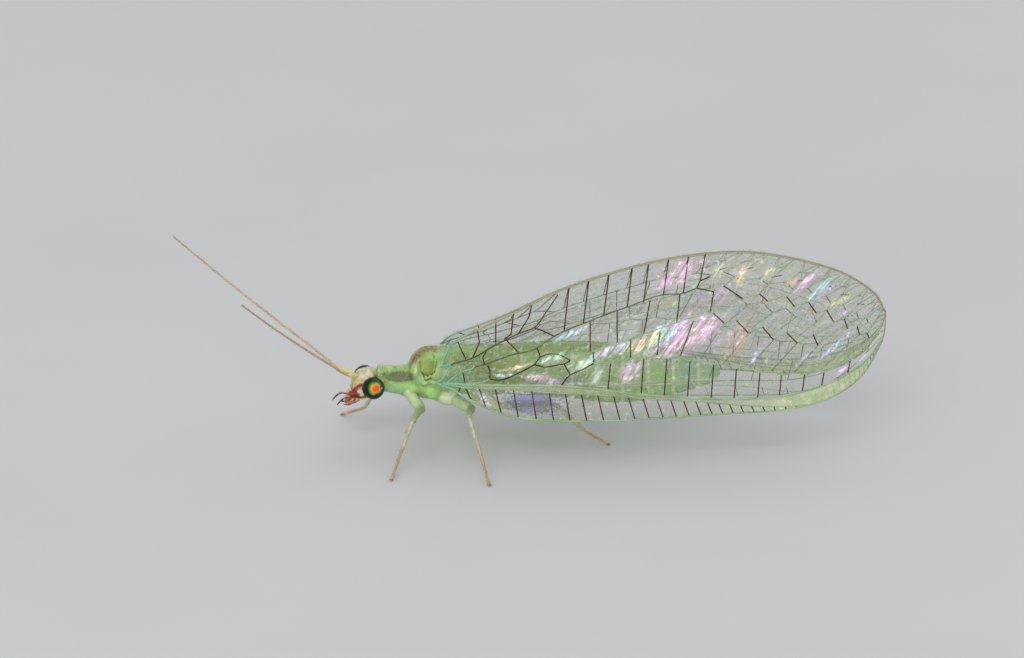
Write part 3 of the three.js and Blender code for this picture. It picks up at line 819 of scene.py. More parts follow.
# The feelers: a stout first joint on the brow, a small second one, and a whip of some ninety
# rings, each a hair's breadth thick and set with a collar of bristles. They follow the solids.
feeler_root = (-0.8, 0.33, 0.45)
feeler_reach = {"left": (4.83, 3.58, 4.21), "right": (3.44, 6.53, 2.75)}
feeler_sag = 0.08
feeler_rings, feeler_sides = 92, 10
feeler_thick, feeler_thin = 0.038, 0.023
scape_share, scape_swell = 0.052, 0.045
bristle_thickness = 0.005


def feeler_line(name, side):
    root, reach = np.array(feeler_root), np.array(feeler_reach[name])
    stops = [(-0.4, side * 0.14, 0.29), (-0.6, side * 0.235, 0.37)]
    for part in np.linspace(0, 1, 9):
        drop = feeler_sag * 4 * part * (1 - part)
        stops.append((root[0] - reach[0] * part, side * (root[1] + reach[1] * part),
                      root[2] + reach[2] * part - drop))
    return path_through(stops, feeler_rings * 4 + 1)


def feeler_material():
    material, tree = blank_material("tan_feeler")
    grain = lay_grain(tree, 2.0, 60.0)
    colour = shades(tree, grain["Cloud"], [(0.3, "bda27c"), (0.7, "cfb893")])
    layers = [("root", "d3cb94", 0.2), ("dark", "8c6a48", 0.2)]
    colour = lay_marks(tree, colour, grain["Speckle"], layers)
    finish_surface(tree, Base_Color=colour, Roughness=0.45, Normal=raised(tree, grain["Height"], 0.004))
    return material


feeler_finish = feeler_material()
for side, name in left_right:
    line = feeler_line(name, side)
    along = np.linspace(0, 1, len(line))
    ripple = np.tile([0.86, 1.0, 1.03, 1.0], feeler_rings + 1)[:len(line)]
    radii = (feeler_thick + (feeler_thin - feeler_thick) * along) * ripple
    scape = np.clip((scape_share - along) / 0.012, 0, 1)
    radii = radii + scape_swell * scape
    radii[-6:] *= np.linspace(1, 0.3, 6)
    shaft = sleeve(line, radii, feeler_sides)
    across, up = frames_along(line)
    ahead = unit(np.gradient(line, axis=0))
    spots = np.repeat(np.arange(12, len(line) - 2, 2), 5)
    turn = seeded.uniform(0, 2 * math.pi, len(spots))[:, None]
    out = across[spots] * np.cos(turn) + up[spots] * np.sin(turn)
    roots = line[spots] + out * radii[spots][:, None] * 0.8
    lengths = np.full(len(spots), 0.07)
    collar = bristles(roots, out * 0.5 + ahead[spots], lengths, bristle_thickness)
    points, faces = gather([shaft, collar])
    ring_share = np.repeat(along, feeler_sides)
    root_mark = np.concatenate([np.clip(1.9 - ring_share * 22, 0, 1), np.zeros(len(collar[0]))])
    dark_mark = np.concatenate([np.clip(ring_share * 0.4 - 0.1, 0, 0.3), np.full(len(collar[0]), 0.6)])
    make_piece(f"feeler_{name}", from_head(points), faces, feeler_finish,
               (f"antenna_{name}",), {"root": root_mark, "dark": dark_mark})

# The legs: hip, trochanter, thigh, shin, a five-jointed foot and two claws with a pad between.
# Thighs are green, shins paler, and feet tan. Each joint is turned, and all carry short bristles.
legs = {
    "foreleg_left": [(-1.36, -0.4, 1.87), (-1.18, -0.6, 1.66), (-0.94, -1.0, 1.46),
                     (-1.2, -2.79, 1.7), (-1.585, -2.78, 0.62), (-1.877, -3.75, 0.04)],
    "foreleg_right": [(-1.36, 0.4, 1.87), (-1.2, 0.6, 1.66), (-1.0, 0.98, 1.44),
                      (-2.0, 2.05, 1.6), (-2.8, 1.95, 0.42), (-3.5, 2.34, 0.04)],
    "midleg_left": [(-0.03, -0.48, 1.73), (0.3, -0.72, 1.6), (0.68, -1.08, 1.5),
                    (0.62, -2.8, 1.84), (1.0, -3.22, 0.68), (1.262, -4.2, 0.04)],
    "midleg_right": [(-0.03, 0.48, 1.73), (0.28, 0.72, 1.6), (0.62, 1.08, 1.48),
                     (0.5, 2.5, 1.85), (0.6, 3.0, 0.68), (0.7, 3.95, 0.04)],
    "hindleg_left": [(0.95, -0.34, 1.95), (1.2, -0.52, 1.7), (1.55, -0.76, 1.48),
                     (3.35, -1.14, 1.72), (4.38, -0.62, 0.55), (5.1, -0.45, 0.04)],
    "hindleg_right": [(0.95, 0.34, 1.95), (1.2, 0.52, 1.7), (1.58, 0.8, 1.46),
                      (3.15, 1.5, 1.66), (4.0, 2.75, 0.52), (4.6, 3.95, 0.04)],
}
hip_radius, bend_radius = 0.185, 0.145
thigh_radius, knee_radius = 0.12, 0.085
shin_radius, ankle_radius = 0.066, 0.056
foot_radius, toe_radius = 0.046, 0.034
hip_kind, thigh_kind, knee_kind, shin_kind = 0.2, 1.0, 1.25, 2.0
foot_kind, hair_kind, pad_kind, claw_kind, last_kind = 3.0, 3.3, 3.4, 4.0, 4.2
foot_joints = [0.34, 0.16, 0.13, 0.12, 0.25]
claw_length = 0.13
bristle_gap, bristle_length = 0.035, 0.085
leg_sides = 14


def leg_pieces(joints):
    """Closed sleeves of one leg with the kind of each, which sets its colour.
    The first runs in one smooth bend from the hip's socket to the knee."""
    socket, hip, trochanter, knee, ankle, toe = np.array(joints)
    after_bend = trochanter * 0.84 + knee * 0.16 + (0, 0, 0.03)
    upper = path_through([socket, hip, trochanter, after_bend, knee], 60)
    along = lengths_along(upper)
    length = along[-1]
    bend = along[np.argmin(np.linalg.norm(upper - trochanter, axis=1))]
    radii = smooth_between([
        (0, hip_radius), (bend * 0.7, hip_radius * 0.95), (bend, bend_radius),
        (bend + 0.2, thigh_radius * 0.92), (bend + 0.5, thigh_radius * 1.05),
        (length - 0.25, knee_radius), (length - 0.06, knee_radius * 1.1),
        (length, knee_radius * 0.6)], along)[:, 0]
    notch = 1 - 0.12 * np.exp(-((along - bend - 0.1) / 0.04) ** 2)
    kinds = np.interp(along, [bend - 0.1, bend + 0.3, length - 0.35, length],
                      [hip_kind, thigh_kind, thigh_kind, knee_kind])
    shin_radii = joint_radii(26, shin_radius, ankle_radius, 0.8, 0.12)
    found = [(upper, radii * notch, kinds), (np.linspace(knee, ankle, 26), shin_radii, shin_kind)]
    reach = np.cumsum([0.0, *foot_joints]) / sum(foot_joints)
    foot = toe + (0, 0, 0.02) - ankle
    for start, end in zip(reach[:-1], reach[1:]):
        radius = foot_radius + (toe_radius - foot_radius) * start
        line = np.linspace(ankle + foot * start, ankle + foot * end, 9)
        found.append((line, joint_radii(9, radius, radius, 0.62), foot_kind))
    way = unit(toe - ankle)
    flat = unit(way * (1, 1, 0))
    crosswise = np.array([-flat[1], flat[0], 0.0])
    root = toe - way * 0.03
    for side in (-1, 1):
        mid = root + flat * claw_length * 0.6 + crosswise * side * 0.05 + (0, 0, 0.01)
        tip = root + flat * claw_length * 0.85 + crosswise * side * 0.07 - (0, 0, 0.025)
        tip[2] = max(tip[2], 0.006)
        found.append((path_through([root, mid, tip], 9), np.linspace(0.018, 0.004, 9), claw_kind))
    found.append((np.linspace(root, toe + flat * 0.07, 7), joint_radii(7, 0.03, 0.03), pad_kind))
    return found


def places_on(line, spots):
    """Points and directions at fractional places on a line, with the steps that they lie in."""
    low = spots.astype(int)
    share = (spots - low)[:, None]
    return low, line[low] * (1 - share) + line[low + 1] * share, unit(line[low + 1] - line[low])


def leg_bristles(line, radii):
    total = np.linalg.norm(np.diff(line, axis=0), axis=1).sum()
    rows = max(int(total / bristle_gap), 2)
    spots = np.repeat(seeded.uniform(0.05, 0.97, rows) * (len(line) - 1), 4)
    low, middle, ahead = places_on(line, spots)
    across, up = frames_along(line)
    turn = seeded.uniform(0, 2 * math.pi, len(spots))[:, None]
    out = across[low] * np.cos(turn) + up[low] * np.sin(turn)
    lengths = bristle_length * seeded.uniform(0.7, 1.2, len(spots))
    roots = middle + out * radii[low][:, None] * 0.85
    points, faces = bristles(roots, out * 0.55 + ahead, lengths, bristle_thickness)
    points[:, 2] = np.maximum(points[:, 2], 0.004)
    return points, faces


def leg_material():
    material, tree = blank_material("pale_leg")
    grain = lay_grain(tree, 4.0, 50.0)
    colour = shades(tree, kept_mark(tree, "kind"), [
        (0.0, "c4d4a2"), (0.1, "bccd98"), (0.2, "a9bd84"), (0.26, "9db27a"), (0.31, "a2b287"),
        (0.42, "cacdb0"), (0.55, "c8c2a2"), (0.63, "cfaf88"), (0.72, "c8a47c"), (0.86, "ac8860"),
        (0.95, "5a4330")])
    cloud = shades(tree, grain["Cloud"], [(0.3, "c8c8c8"), (0.7, "ffffff")])
    inputs = {"Factor": 0.5, 6: colour, 7: cloud}
    mixed = node(tree, "ShaderNodeMix", inputs, data_type="RGBA", blend_type="MULTIPLY")
    finish_skin(tree, mixed.outputs[2], grain, 0.36, 0.006, 0.25, (0.6, 0.8, 0.3), 0.3)
    return material


leg_finish = leg_material()
for name, joints in legs.items():
    parts, kinds = [], []
    for line, radii, kind in leg_pieces(joints):
        kind = np.broadcast_to(kind, len(line))
        share = np.linspace(0, 0.55, len(line)) * (np.abs(kind - shin_kind) < 0.5)
        parts.append(sleeve(line, radii, leg_sides))
        kinds.append(np.repeat(kind + share, leg_sides))
        if kind[-1] != claw_kind:
            hair = leg_bristles(line, radii)
            parts.append(hair)
            kinds.append(np.full(len(hair[0]), hair_kind))
    points, faces = gather(parts)
    points[:, 2] = np.maximum(points[:, 2], 0.0)
    make_piece(f"{name}_limb", points, faces, leg_finish, (name,),
               {"kind": np.concatenate(kinds) / last_kind})

# The forewings: clear membranes folded like a steep roof, each stretched over a net of tubes.
# A wing place is a share of the span, from hinge to tip, and of the chord, from the front margin
# that hangs low to the hind margin at the ridge.
# Stations evenly spread over the span: x, z and y at the front margin, then at the hind one.
roof_stations = np.array([
    (-0.42, 2.46, 1.3, -0.3, 2.95, 1.1), (0.06, 2.42, 1.72, 0.06, 3.5, 0.42),
    (0.81, 2.1, 2.08, 0.81, 3.87, 0.22), (1.94, 1.7, 2.3, 1.94, 4.38, 0.1),
    (3.56, 1.58, 2.42, 3.56, 5.19, 0.06), (5.5, 1.6, 2.42, 5.5, 5.87, 0.06),
    (7.44, 1.68, 2.3, 7.44, 6.34, 0.06), (9.38, 1.7, 2.0, 9.38, 6.51, 0.06),
    (11.0, 1.72, 1.68, 11.0, 6.3, 0.06), (12.36, 2.0, 1.3, 12.6, 5.83, 0.06),
    (13.33, 2.64, 1.0, 13.68, 5.13, 0.06), (13.94, 3.6, 0.66, 14.08, 4.46, 0.06),
])
roof_stops = np.column_stack([np.linspace(0, 1, len(roof_stations)), roof_stations])
roof_curvature = 1.7
tip_start, tip_swell = 0.85, 0.05
wing_length, wing_width = 14.5, 4.6


def bare_roof(span, chord):
    low_x, low_z, low_y, high_x, high_z, high_y = smooth_between(roof_stops, span).T
    fall = 1 - np.clip(chord, 0, None) ** roof_curvature
    near_tip = np.clip((span - tip_start) / (1 - tip_start), 0, 1)
    swell = tip_swell * 4 * chord * (1 - chord) * near_tip ** 2
    return np.column_stack([low_x + (high_x - low_x) * chord + swell, high_y + (low_y - high_y) * fall,
                            low_z + (high_z - low_z) * chord])


def roof_at(span, chord, inward=0.0):
    """Points and outward normals of the right-hand roof, set inward by a depth."""
    step = 1e-3
    along = bare_roof(np.minimum(span + step, 1), chord) - bare_roof(np.maximum(span - step, 0), chord)
    up = bare_roof(span, np.minimum(chord + step, 1)) - bare_roof(span, np.maximum(chord - step, 0))
    normal = unit(np.cross(up, along))
    normal *= np.sign(normal[:, 1:2])
    return bare_roof(span, chord) - normal * np.reshape(inward, (-1, 1)), normal


# Long veins, from the front margin back. Stops are shares of span and chord.
subcosta = [(0.05, 0.05), (0.13, 0.16), (0.2, 0.26), (0.255, 0.3), (0.3, 0.29), (0.35, 0.25),
            (0.43, 0.2), (0.49, 0.15), (0.57, 0.1), (0.645, 0.05), (0.7, 0.03), (0.76, 0.01)]
radius_vein = [(0.04, 0.07), (0.1, 0.16), (0.165, 0.27), (0.25, 0.34), (0.35, 0.31), (0.42, 0.25),
               (0.475, 0.19), (0.56, 0.13), (0.62, 0.1), (0.69, 0.1), (0.77, 0.12),
               (0.83, 0.14), (0.9, 0.17), (0.96, 0.18), (1.0, 0.22)]
sector_root = [(0.365, 0.3), (0.38, 0.38), (0.4, 0.41), (0.415, 0.44)]
sector_line = [(0.415, 0.44), (0.45, 0.43), (0.49, 0.43), (0.53, 0.41), (0.56, 0.38),
               (0.6, 0.34), (0.64, 0.3), (0.68, 0.27), (0.73, 0.25), (0.78, 0.24),
               (0.83, 0.25), (0.865, 0.29), (0.9, 0.34), (0.95, 0.41), (1.0, 0.47)]
sector_crossings = [0.44, 0.49, 0.525, 0.56, 0.595, 0.63, 0.67, 0.71, 0.755, 0.795, 0.86]
sector_branches = [0.415, 0.47, 0.51, 0.545, 0.575, 0.61, 0.65, 0.69, 0.735, 0.785, 0.825]
media_line = [(0.38, 0.49), (0.41, 0.52), (0.45, 0.55), (0.49, 0.58), (0.54, 0.62), (0.59, 0.66)]
branch_feet = [(0.415, 0.52), (0.47, 0.56), (0.515, 0.58), (0.565, 0.62)]
cubitus_line = [(0.06, 0.1), (0.085, 0.24), (0.13, 0.44), (0.18, 0.54), (0.215, 0.58),
                (0.275, 0.64), (0.325, 0.64), (0.345, 0.68), (0.37, 0.71), (0.4, 0.73),
                (0.43, 0.75), (0.465, 0.77), (0.52, 0.8), (0.55, 0.79), (0.57, 0.81)]
media_root = [(0.1, 0.14), (0.165, 0.29), (0.215, 0.37), (0.225, 0.4)]
media_stem = [(0.225, 0.4), (0.25, 0.4), (0.285, 0.45), (0.32, 0.51)]
cell_under = [(0.32, 0.51), (0.34, 0.47), (0.36, 0.47), (0.37, 0.47), (0.38, 0.49)]
cell_over = [(0.33, 0.56), (0.345, 0.57), (0.36, 0.55), (0.38, 0.49)]
hind_cubitus_root = [(0.015, 0.86), (0.05, 0.68), (0.085, 0.59)]
hind_cubitus = [(0.085, 0.59), (0.175, 0.67), (0.24, 0.77), (0.295, 0.81), (0.32, 0.81),
                (0.34, 0.89), (0.36, 0.98)]
root_shaft = [(0.0, 0.1), (0.04, 0.3), (0.07, 0.5), (0.085, 0.59)]
inner_steps = [((0.595, 0.65), (0.61, 0.59)), ((0.63, 0.6), (0.65, 0.52)),
               ((0.675, 0.56), (0.695, 0.48)), ((0.72, 0.53), (0.74, 0.46)),
               ((0.77, 0.52), (0.78, 0.44))]
outer_steps = [((0.57, 0.81), (0.595, 0.78)), ((0.61, 0.81), (0.64, 0.73)),
               ((0.67, 0.76), (0.685, 0.72)), ((0.72, 0.76), (0.735, 0.7)),
               ((0.76, 0.74), (0.775, 0.67)), ((0.795, 0.7), (0.81, 0.62)),
               ((0.835, 0.65), (0.845, 0.57)), ((0.87, 0.6), (0.88, 0.52)),
               ((0.905, 0.53), (0.915, 0.47))]
margin_steps = [(0.37, 0.71), (0.4, 0.73), (0.43, 0.75), (0.465, 0.77), (0.49, 0.78),
                (0.52, 0.8), (0.55, 0.79), (0.575, 0.85)]
dark_short = [
    [(0.32, 0.51), (0.33, 0.56)], [(0.33, 0.56), (0.325, 0.64)], [(0.37, 0.47), (0.38, 0.38)],
    [(0.32, 0.81), (0.355, 0.69)], [(0.215, 0.72), (0.205, 0.66), (0.21, 0.58)],
    [(0.22, 0.56), (0.225, 0.5), (0.225, 0.4)], [(0.265, 0.79), (0.29, 0.65)],
    [(0.12, 0.95), (0.135, 0.8), (0.15, 0.67)], [(0.19, 0.98), (0.195, 0.84), (0.175, 0.68)],
    [(0.24, 0.98), (0.24, 0.78)], [(0.28, 0.99), (0.275, 0.83), (0.26, 0.8)],
    [(0.315, 0.99), (0.31, 0.91), (0.29, 0.81)], [(0.41, 0.73), (0.41, 0.52)],
    [(0.45, 0.76), (0.45, 0.55)], [(0.5, 0.78), (0.49, 0.58)],
    [(0.545, 0.79), (0.54, 0.62)], [(0.595, 0.78), (0.59, 0.66)], [(0.15, 0.24), (0.14, 0.44)],
]
costal_feet = [(0, 0.12), (1, 0.17), (4, 0.29), (9, 0.43), (14, 0.54), (21, 0.66), (27, 0.78)]
costal_lean = [(0.12, 0.01), (0.17, -0.02), (0.21, -0.02), (0.29, -0.01), (0.5, -0.01), (0.78, 0.0)]
costal_crossings = 26
faint, thin, middling, broad = 0.012, 0.021, 0.024, 0.042
margin_tone = 2.0
zigzag_step = 0.009
vein_step, vein_sides = 0.12, 6
margin_hair_gap, vein_hair_gap = 0.04, 0.1
vein_hair_thickness = 0.003


def value_on(line, span):
    return float(smooth_between(line, [span])[0, 0])


def lay(net, radius, dark, *lines):
    """Adds straight veins to a net."""
    net.extend((line, radius, dark, True) for line in lines)


def forewing_net():
    """Veins as (stops, radius, dark share, straight)."""
    quarters = (0.0, 0.25, 0.5, 0.75, 1.0)
    net = [(line, radius, dark, False) for line, radius, dark in [
        ([(share, 0.0) for share in quarters], 0.032, 0.0),
        ([(share, 1.0) for share in quarters], 0.03, margin_tone),
        ([(1.0, 0.0), (1.0, 0.5), (1.0, 1.0)], 0.03, margin_tone),
        (subcosta, middling, 0.05), (radius_vein, broad, 0.0), (sector_root, thin, 0.9),
        (media_root, middling, 0.1), (media_stem, thin, 0.85), (cell_under, thin, 0.75),
        (cell_over, thin, 0.6), (cubitus_line[:4], middling, 0.0), (cubitus_line[3:], thin, 0.55),
        (media_line, middling, 0.1), (hind_cubitus_root, middling, 0.05),
        (hind_cubitus, thin, 0.6), (root_shaft, thin, 0.0)]]
    lay(net, thin, 0.9, *dark_short)
    steps = [(s, -zigzag_step) for s in sector_crossings] + [(s, zigzag_step) for s in sector_branches]
    zigzag = [(s, value_on(sector_line, s) + step) for s, step in sorted(steps)]
    bend_at = dict(zigzag)
    lay(net, middling, 0.12, zigzag)
    net.append(([zigzag[-1], (0.93, 0.4), (1.0, 0.5)], faint, 0.1, False))
    for s in sector_crossings:
        lay(net, thin, 0.92, [(s - 0.004, value_on(radius_vein, s)), (s, bend_at[s])])
    for k in range(costal_crossings):
        foot = value_on(costal_feet, k)
        top = foot + value_on(costal_lean, foot)
        lay(net, thin, 0.95, [(top, value_on(subcosta, min(top, 0.75))), (foot, 0.0)])
    for foot in 0.8 + 0.015 * np.arange(12):
        lay(net, faint, 0.1, [(foot, value_on(radius_vein, foot)), (foot + 0.01, 0.0)])
    for s, foot in zip(sector_branches, branch_feet):
        lay(net, thin, 0.85, [(s, bend_at[s]), foot])
    lay(net, thin, 0.9, *inner_steps, *outer_steps)
    lay(net, faint, 0.3, [media_line[-1], inner_steps[0][0]])
    lay(net, faint, 0.15, [inner_steps[0][0], outer_steps[0][1]])
    lay(net, thin, 0.85, *([start, (start[0] + 0.008, 1.0)] for start in margin_steps))
    lay(net, thin, 0.7, [(0.57, 0.81), (0.575, 0.85), (0.59, 0.87)])
    for k, s in enumerate(sector_branches[len(branch_feet):]):
        root = (s, bend_at[s])
        if k < len(inner_steps):
            inner = inner_steps[k][1]
            after = [step[0] for step in inner_steps[k + 1:k + 2]]
            lay(net, faint, 0.55, [root, inner])
            lay(net, faint, 0.1, [inner, *after, outer_steps[k + 1][1], outer_steps[k + 2][0]])
        else:
            outer = outer_steps[k + 2][1]
            lay(net, faint, 0.4, [root, outer])
            lay(net, faint, 0.1, [outer, outer_steps[min(k + 3, 8)][0]])
    for k, (upper, _) in enumerate(outer_steps):
        end = 0.628 + 0.046 * k
        fork = (upper[0] + 0.4 * (min(end, 0.99) - upper[0]) + 0.006, upper[1] + 0.45 * (1 - upper[1]))
        lay(net, faint, 0.15, [upper, fork])
        for tine in (end - 0.012, end + 0.014):
            lay(net, faint, 0.2, [fork, (min(tine, 1.0), 1.0 if tine < 1 else 0.92)])
        if k < 7:
            lay(net, faint, 0.75, [(fork[0] - 0.004, fork[1]), (fork[0] + 0.016, fork[1] + 0.02)])
    for k in range(4):
        chord = 0.3 + 0.15 * k
        lay(net, faint, 0.15, [(0.91 + 0.015 * k, chord), (1.0, chord + 0.02)])
    return net


def vein_mesh(net, side, place, seed):
    """Tubes of a vein net with their bristles. Place turns wing shares into points and normals."""
    random = np.random.default_rng(seed)
    fineness = 1.0 if side < 0 else 0.75
    size = (wing_length, wing_width)
    parts, marks = [], {"dark": [], "teal": [], "margin": []}

    def add(part, **values):
        parts.append(part)
        for name, value in values.items():
            marks[name].append(np.broadcast_to(value, len(part[0])))

    for stops, radius, dark, straight in net:
        radius = radius * fineness
        stops = np.asarray(stops, float) * size
        total = float(np.linalg.norm(np.diff(stops, axis=0), axis=1).sum())
        count = max(int(total / vein_step), 3)
        if straight:
            along = lengths_along(stops)
            at = np.union1d(np.linspace(0, total, count), along)
            line = np.column_stack([np.interp(at, along, column) for column in stops.T]) / size
        else:
            line = path_through(stops, count) / size
        points, normals = place(*np.clip(line, 0, 1).T)
        points, normals = points * (1, side, 1), normals * (1, side, 1)
        span = line[:, 0]
        taper = np.full(len(points), radius)
        if not straight:
            taper *= np.clip(1.25 - 0.55 * span, 0.6, 1.25) * (1 + 0.2 * np.exp(-(span / 0.07) ** 2))
        margin = dark == margin_tone
        add(sleeve(points, taper, vein_sides), margin=float(margin), dark=0.0 if margin else dark * fineness,
            teal=np.repeat(np.clip(1.2 - span * 6, 0, 1), vein_sides))
        hairs = max(int(total / (margin_hair_gap if margin else vein_hair_gap)), 1)
        low, roots, ahead = places_on(points, random.uniform(0, len(points) - 1.001, hairs))
        out = normals[low] * np.sign(random.uniform(-0.3, 1, hairs))[:, None]
        lean = out + ahead * random.uniform(0.2, 0.9, hairs)[:, None]
        lengths = random.uniform(0.08, 0.14, hairs) * np.clip((1.02 - span[low]) * 12, 0.35, 1)
        add(bristles(roots + out * radius * 0.5, lean, lengths, vein_hair_thickness),
            margin=0.0, dark=0.5, teal=0.0)
    return *gather(parts), {name: np.concatenate(values) for name, values in marks.items()}


def membrane_mesh(side, place, columns, rows, thickness):
    """Closed thin sheet over the whole wing, with its span and chord as a plan."""
    span, chord = np.meshgrid(np.linspace(0, 1, columns), np.linspace(0, 1, rows), indexing="ij")
    plan = np.column_stack([span.ravel(), chord.ravel()])
    points, normals = place(*plan.T)
    points, normals = points * (1, side, 1), normals * (1, side, 1)
    total = columns * rows
    grid = np.arange(total).reshape(columns, rows)
    quads = grid[:-1, :-1].reshape(-1, 1) + [0, rows, rows + 1, 1]
    faces = np.stack([quads, quads[:, ::-1] + total], axis=1).reshape(-1, 4).tolist()
    rim = np.concatenate([grid[0], grid[1:, -1], grid[-1, -2::-1], grid[-2:0:-1, 0]])
    after = np.roll(rim, -1)
    faces += np.column_stack([rim, after, after + total, rim + total]).tolist()
    both = np.concatenate([points + normals * thickness / 2, points - normals * thickness / 2])
    return both, faces, np.tile(plan, (2, 1))


# Gleams of the membrane are painted reflections in pearly film hues. Each: place, half length and
# half width in millimetres, lean in degrees from the span, strength, and the hue that the film's
# thickness gives there, from 0 to 1 round pink, lilac, cyan, green, yellow and orange.
gleams = [
    ((0.6, 0.88), (0.25, 0.08), 70, 1.0, 0.66), ((0.64, 0.87), (0.32, 0.1), 60, 1.0, 0.8),
    ((0.69, 0.9), (0.2, 0.08), 40, 0.9, 0.68), ((0.73, 0.86), (0.2, 0.08), 40, 0.9, 0.88),
    ((0.75, 0.85), (0.6, 0.07), 55, 1.0, 0.03), ((0.78, 0.84), (0.6, 0.07), 55, 1.0, 0.42),
    ((0.79, 0.83), (0.5, 0.07), 52, 0.8, 0.16), ((0.82, 0.78), (0.5, 0.07), 40, 0.9, 0.7),
    ((0.83, 0.69), (0.22, 0.07), 40, 1.0, 0.08), ((0.76, 0.37), (0.28, 0.07), 38, 0.9, 0.2),
    ((0.8, 0.38), (0.36, 0.07), 30, 0.9, 0.2), ((0.83, 0.47), (0.8, 0.07), 42, 0.9, 0.3),
    ((0.9, 0.25), (0.4, 0.1), 12, 0.9, 0.06), ((0.66, 0.37), (0.33, 0.07), 60, 0.7, 0.2),
    ((0.55, 0.53), (0.8, 0.4), 23, 1.0, 0.02), ((0.55, 0.61), (0.66, 0.08), 5, 0.9, 0.2),
    ((0.63, 0.47), (0.5, 0.22), 65, 0.5, 0.95), ((0.93, 0.9), (0.3, 0.1), 55, 0.6, 0.95),
    ((0.84, 0.21), (0.3, 0.12), 26, 0.8, 0.08), ((0.38, 0.68), (0.4, 0.08), 13, 1.0, 0.36),
    ((0.44, 0.51), (0.38, 0.16), 20, 0.9, 0.16), ((0.5, 0.53), (0.5, 0.2), 17, 1.0, 0.93),
    ((0.35, 0.53), (0.32, 0.12), 6, 0.7, 0.46), ((0.4, 0.44), (0.3, 0.16), 26, 0.7, 0.54),
    ((0.26, 0.45), (0.3, 0.08), 0, 1.0, 0.42), ((0.33, 0.38), (0.55, 0.14), -30, 0.6, 0.02),
    ((0.28, 0.51), (0.46, 0.08), 8, 0.9, 0.82), ((0.21, 0.11), (0.4, 0.16), -60, 0.9, 0.1),
    ((0.54, 0.91), (0.55, 0.3), 28, 0.7, 0.02), ((0.13, 0.54), (0.15, 0.1), 0, 0.9, 0.82),
    ((0.47, 0.34), (0.45, 0.2), 70, 0.6, 0.05), ((0.42, 0.35), (0.3, 0.1), 70, 0.5, 0.5),
]
gleam_gain = 1.3
film_lean = math.radians(60)


def gleam_marks(plan, side, shift):
    """Strength and hue of the painted film reflections at each point, and a painted shadow. The right wing's
    gleams are weaker and it has no painted shadow.
    """
    gain = gleam_gain * (1.0 if side < 0 else 0.5)
    shift_along = shift + (0.0 if side < 0 else 0.03)
    painted_sheen = np.full(len(plan), 0.05)
    hue = 0.5 * painted_sheen
    for middle, (half_long, half_wide), lean, strength, film in gleams:
        x, y = ((plan - middle - (shift_along, 0.0)) * (wing_length, wing_width)).T
        c, s = math.cos(math.radians(lean)), math.sin(math.radians(lean))
        away = ((x * c + y * s) / half_long) ** 2 + ((y * c - x * s) / half_wide) ** 2
        share = gain * strength * np.exp(-away ** 1.5)
        hue += share * (film + shift)
        painted_sheen += share
    # A painted shadow: a dark violet-grey patch on the left wings, near the low front margin a third of the
    # way out.
    painted_shadow = np.exp(-((plan[:, 0] - 0.31) / 0.06) ** 2 - ((plan[:, 1] - 0.16) / 0.11) ** 4)
    return {"painted_sheen": np.clip(painted_sheen, 0, 1), "hue": hue / painted_sheen, "painted_shadow": painted_shadow * (side < 0)}


def painted_film_sheen():
    """Effect of every membrane: painted reflections in streaked pearly hues and white sparkle where the film
    gleams, and a painted glow of the same.
    """
    group, entry = new_effect("painted_film_sheen", ["Painted Sheen", "Hue"], ["Veil And Painted Sheen", "Painted Glow"],
                              ["Cover", "Wrinkle"])
    plan = node(group, "ShaderNodeUVMap", uv_map="plan").outputs["UV"]
    wide = node(group, "ShaderNodeVectorMath", {0: plan, 1: (wing_length, wing_width, 1.0)},
                operation="MULTIPLY").outputs[0]
    levelled = node(group, "ShaderNodeVectorRotate", {"Vector": wide, "Angle": -film_lean},
                    rotation_type="Z_AXIS").outputs[0]
    drawn = node(group, "ShaderNodeVectorMath", {0: levelled, 1: (1.0, 6.0, 1.0)},
                 operation="MULTIPLY").outputs[0]
    streak = clouds(group, drawn, 1.5, 5.0, 0.7)
    grit = clouds(group, wide, 6.0, 4.0, 0.7)
    depth = calc(group, "MULTIPLY_ADD", streak, 0.75, entry["Hue"])
    round_hue = calc(group, "FRACT", calc(group, "ADD", depth, 0.62))
    colour = shades(group, round_hue, [
        (0.0, "f0b4cf"), (0.14, "d9b2ea"), (0.28, "b0b6f2"), (0.42, "a5e2ea"), (0.56, "b8eeb4"),
        (0.72, "f4f0a2"), (0.86, "f6c79c"), (1.0, "f0b4cf")])
    # Painted white sparkle, and painted sparks that add to the cover of the painted reflections.
    colour = blend_in(group, respan(group, grit, 0.45, 0.62, to_high=0.6), colour, "f7f5f2")
    broken = respan(group, streak, 0.4, 0.58)
    painted_sparks = respan(group, grit, 0.54, 0.72, to_high=0.6)
    cover = calc(group, "MULTIPLY_ADD", entry["Painted Sheen"], broken, painted_sparks, use_clamp=True)
    node(group, "NodeGroupOutput", {
        "Veil And Painted Sheen": blend_in(group, cover, "a2a48c", colour),
        "Painted Glow": blend_in(group, cover, "000000", colour),
        "Cover": cover, "Wrinkle": clouds(group, wide, 2.6, 4.0)})
    return group


film_effect = painted_film_sheen()


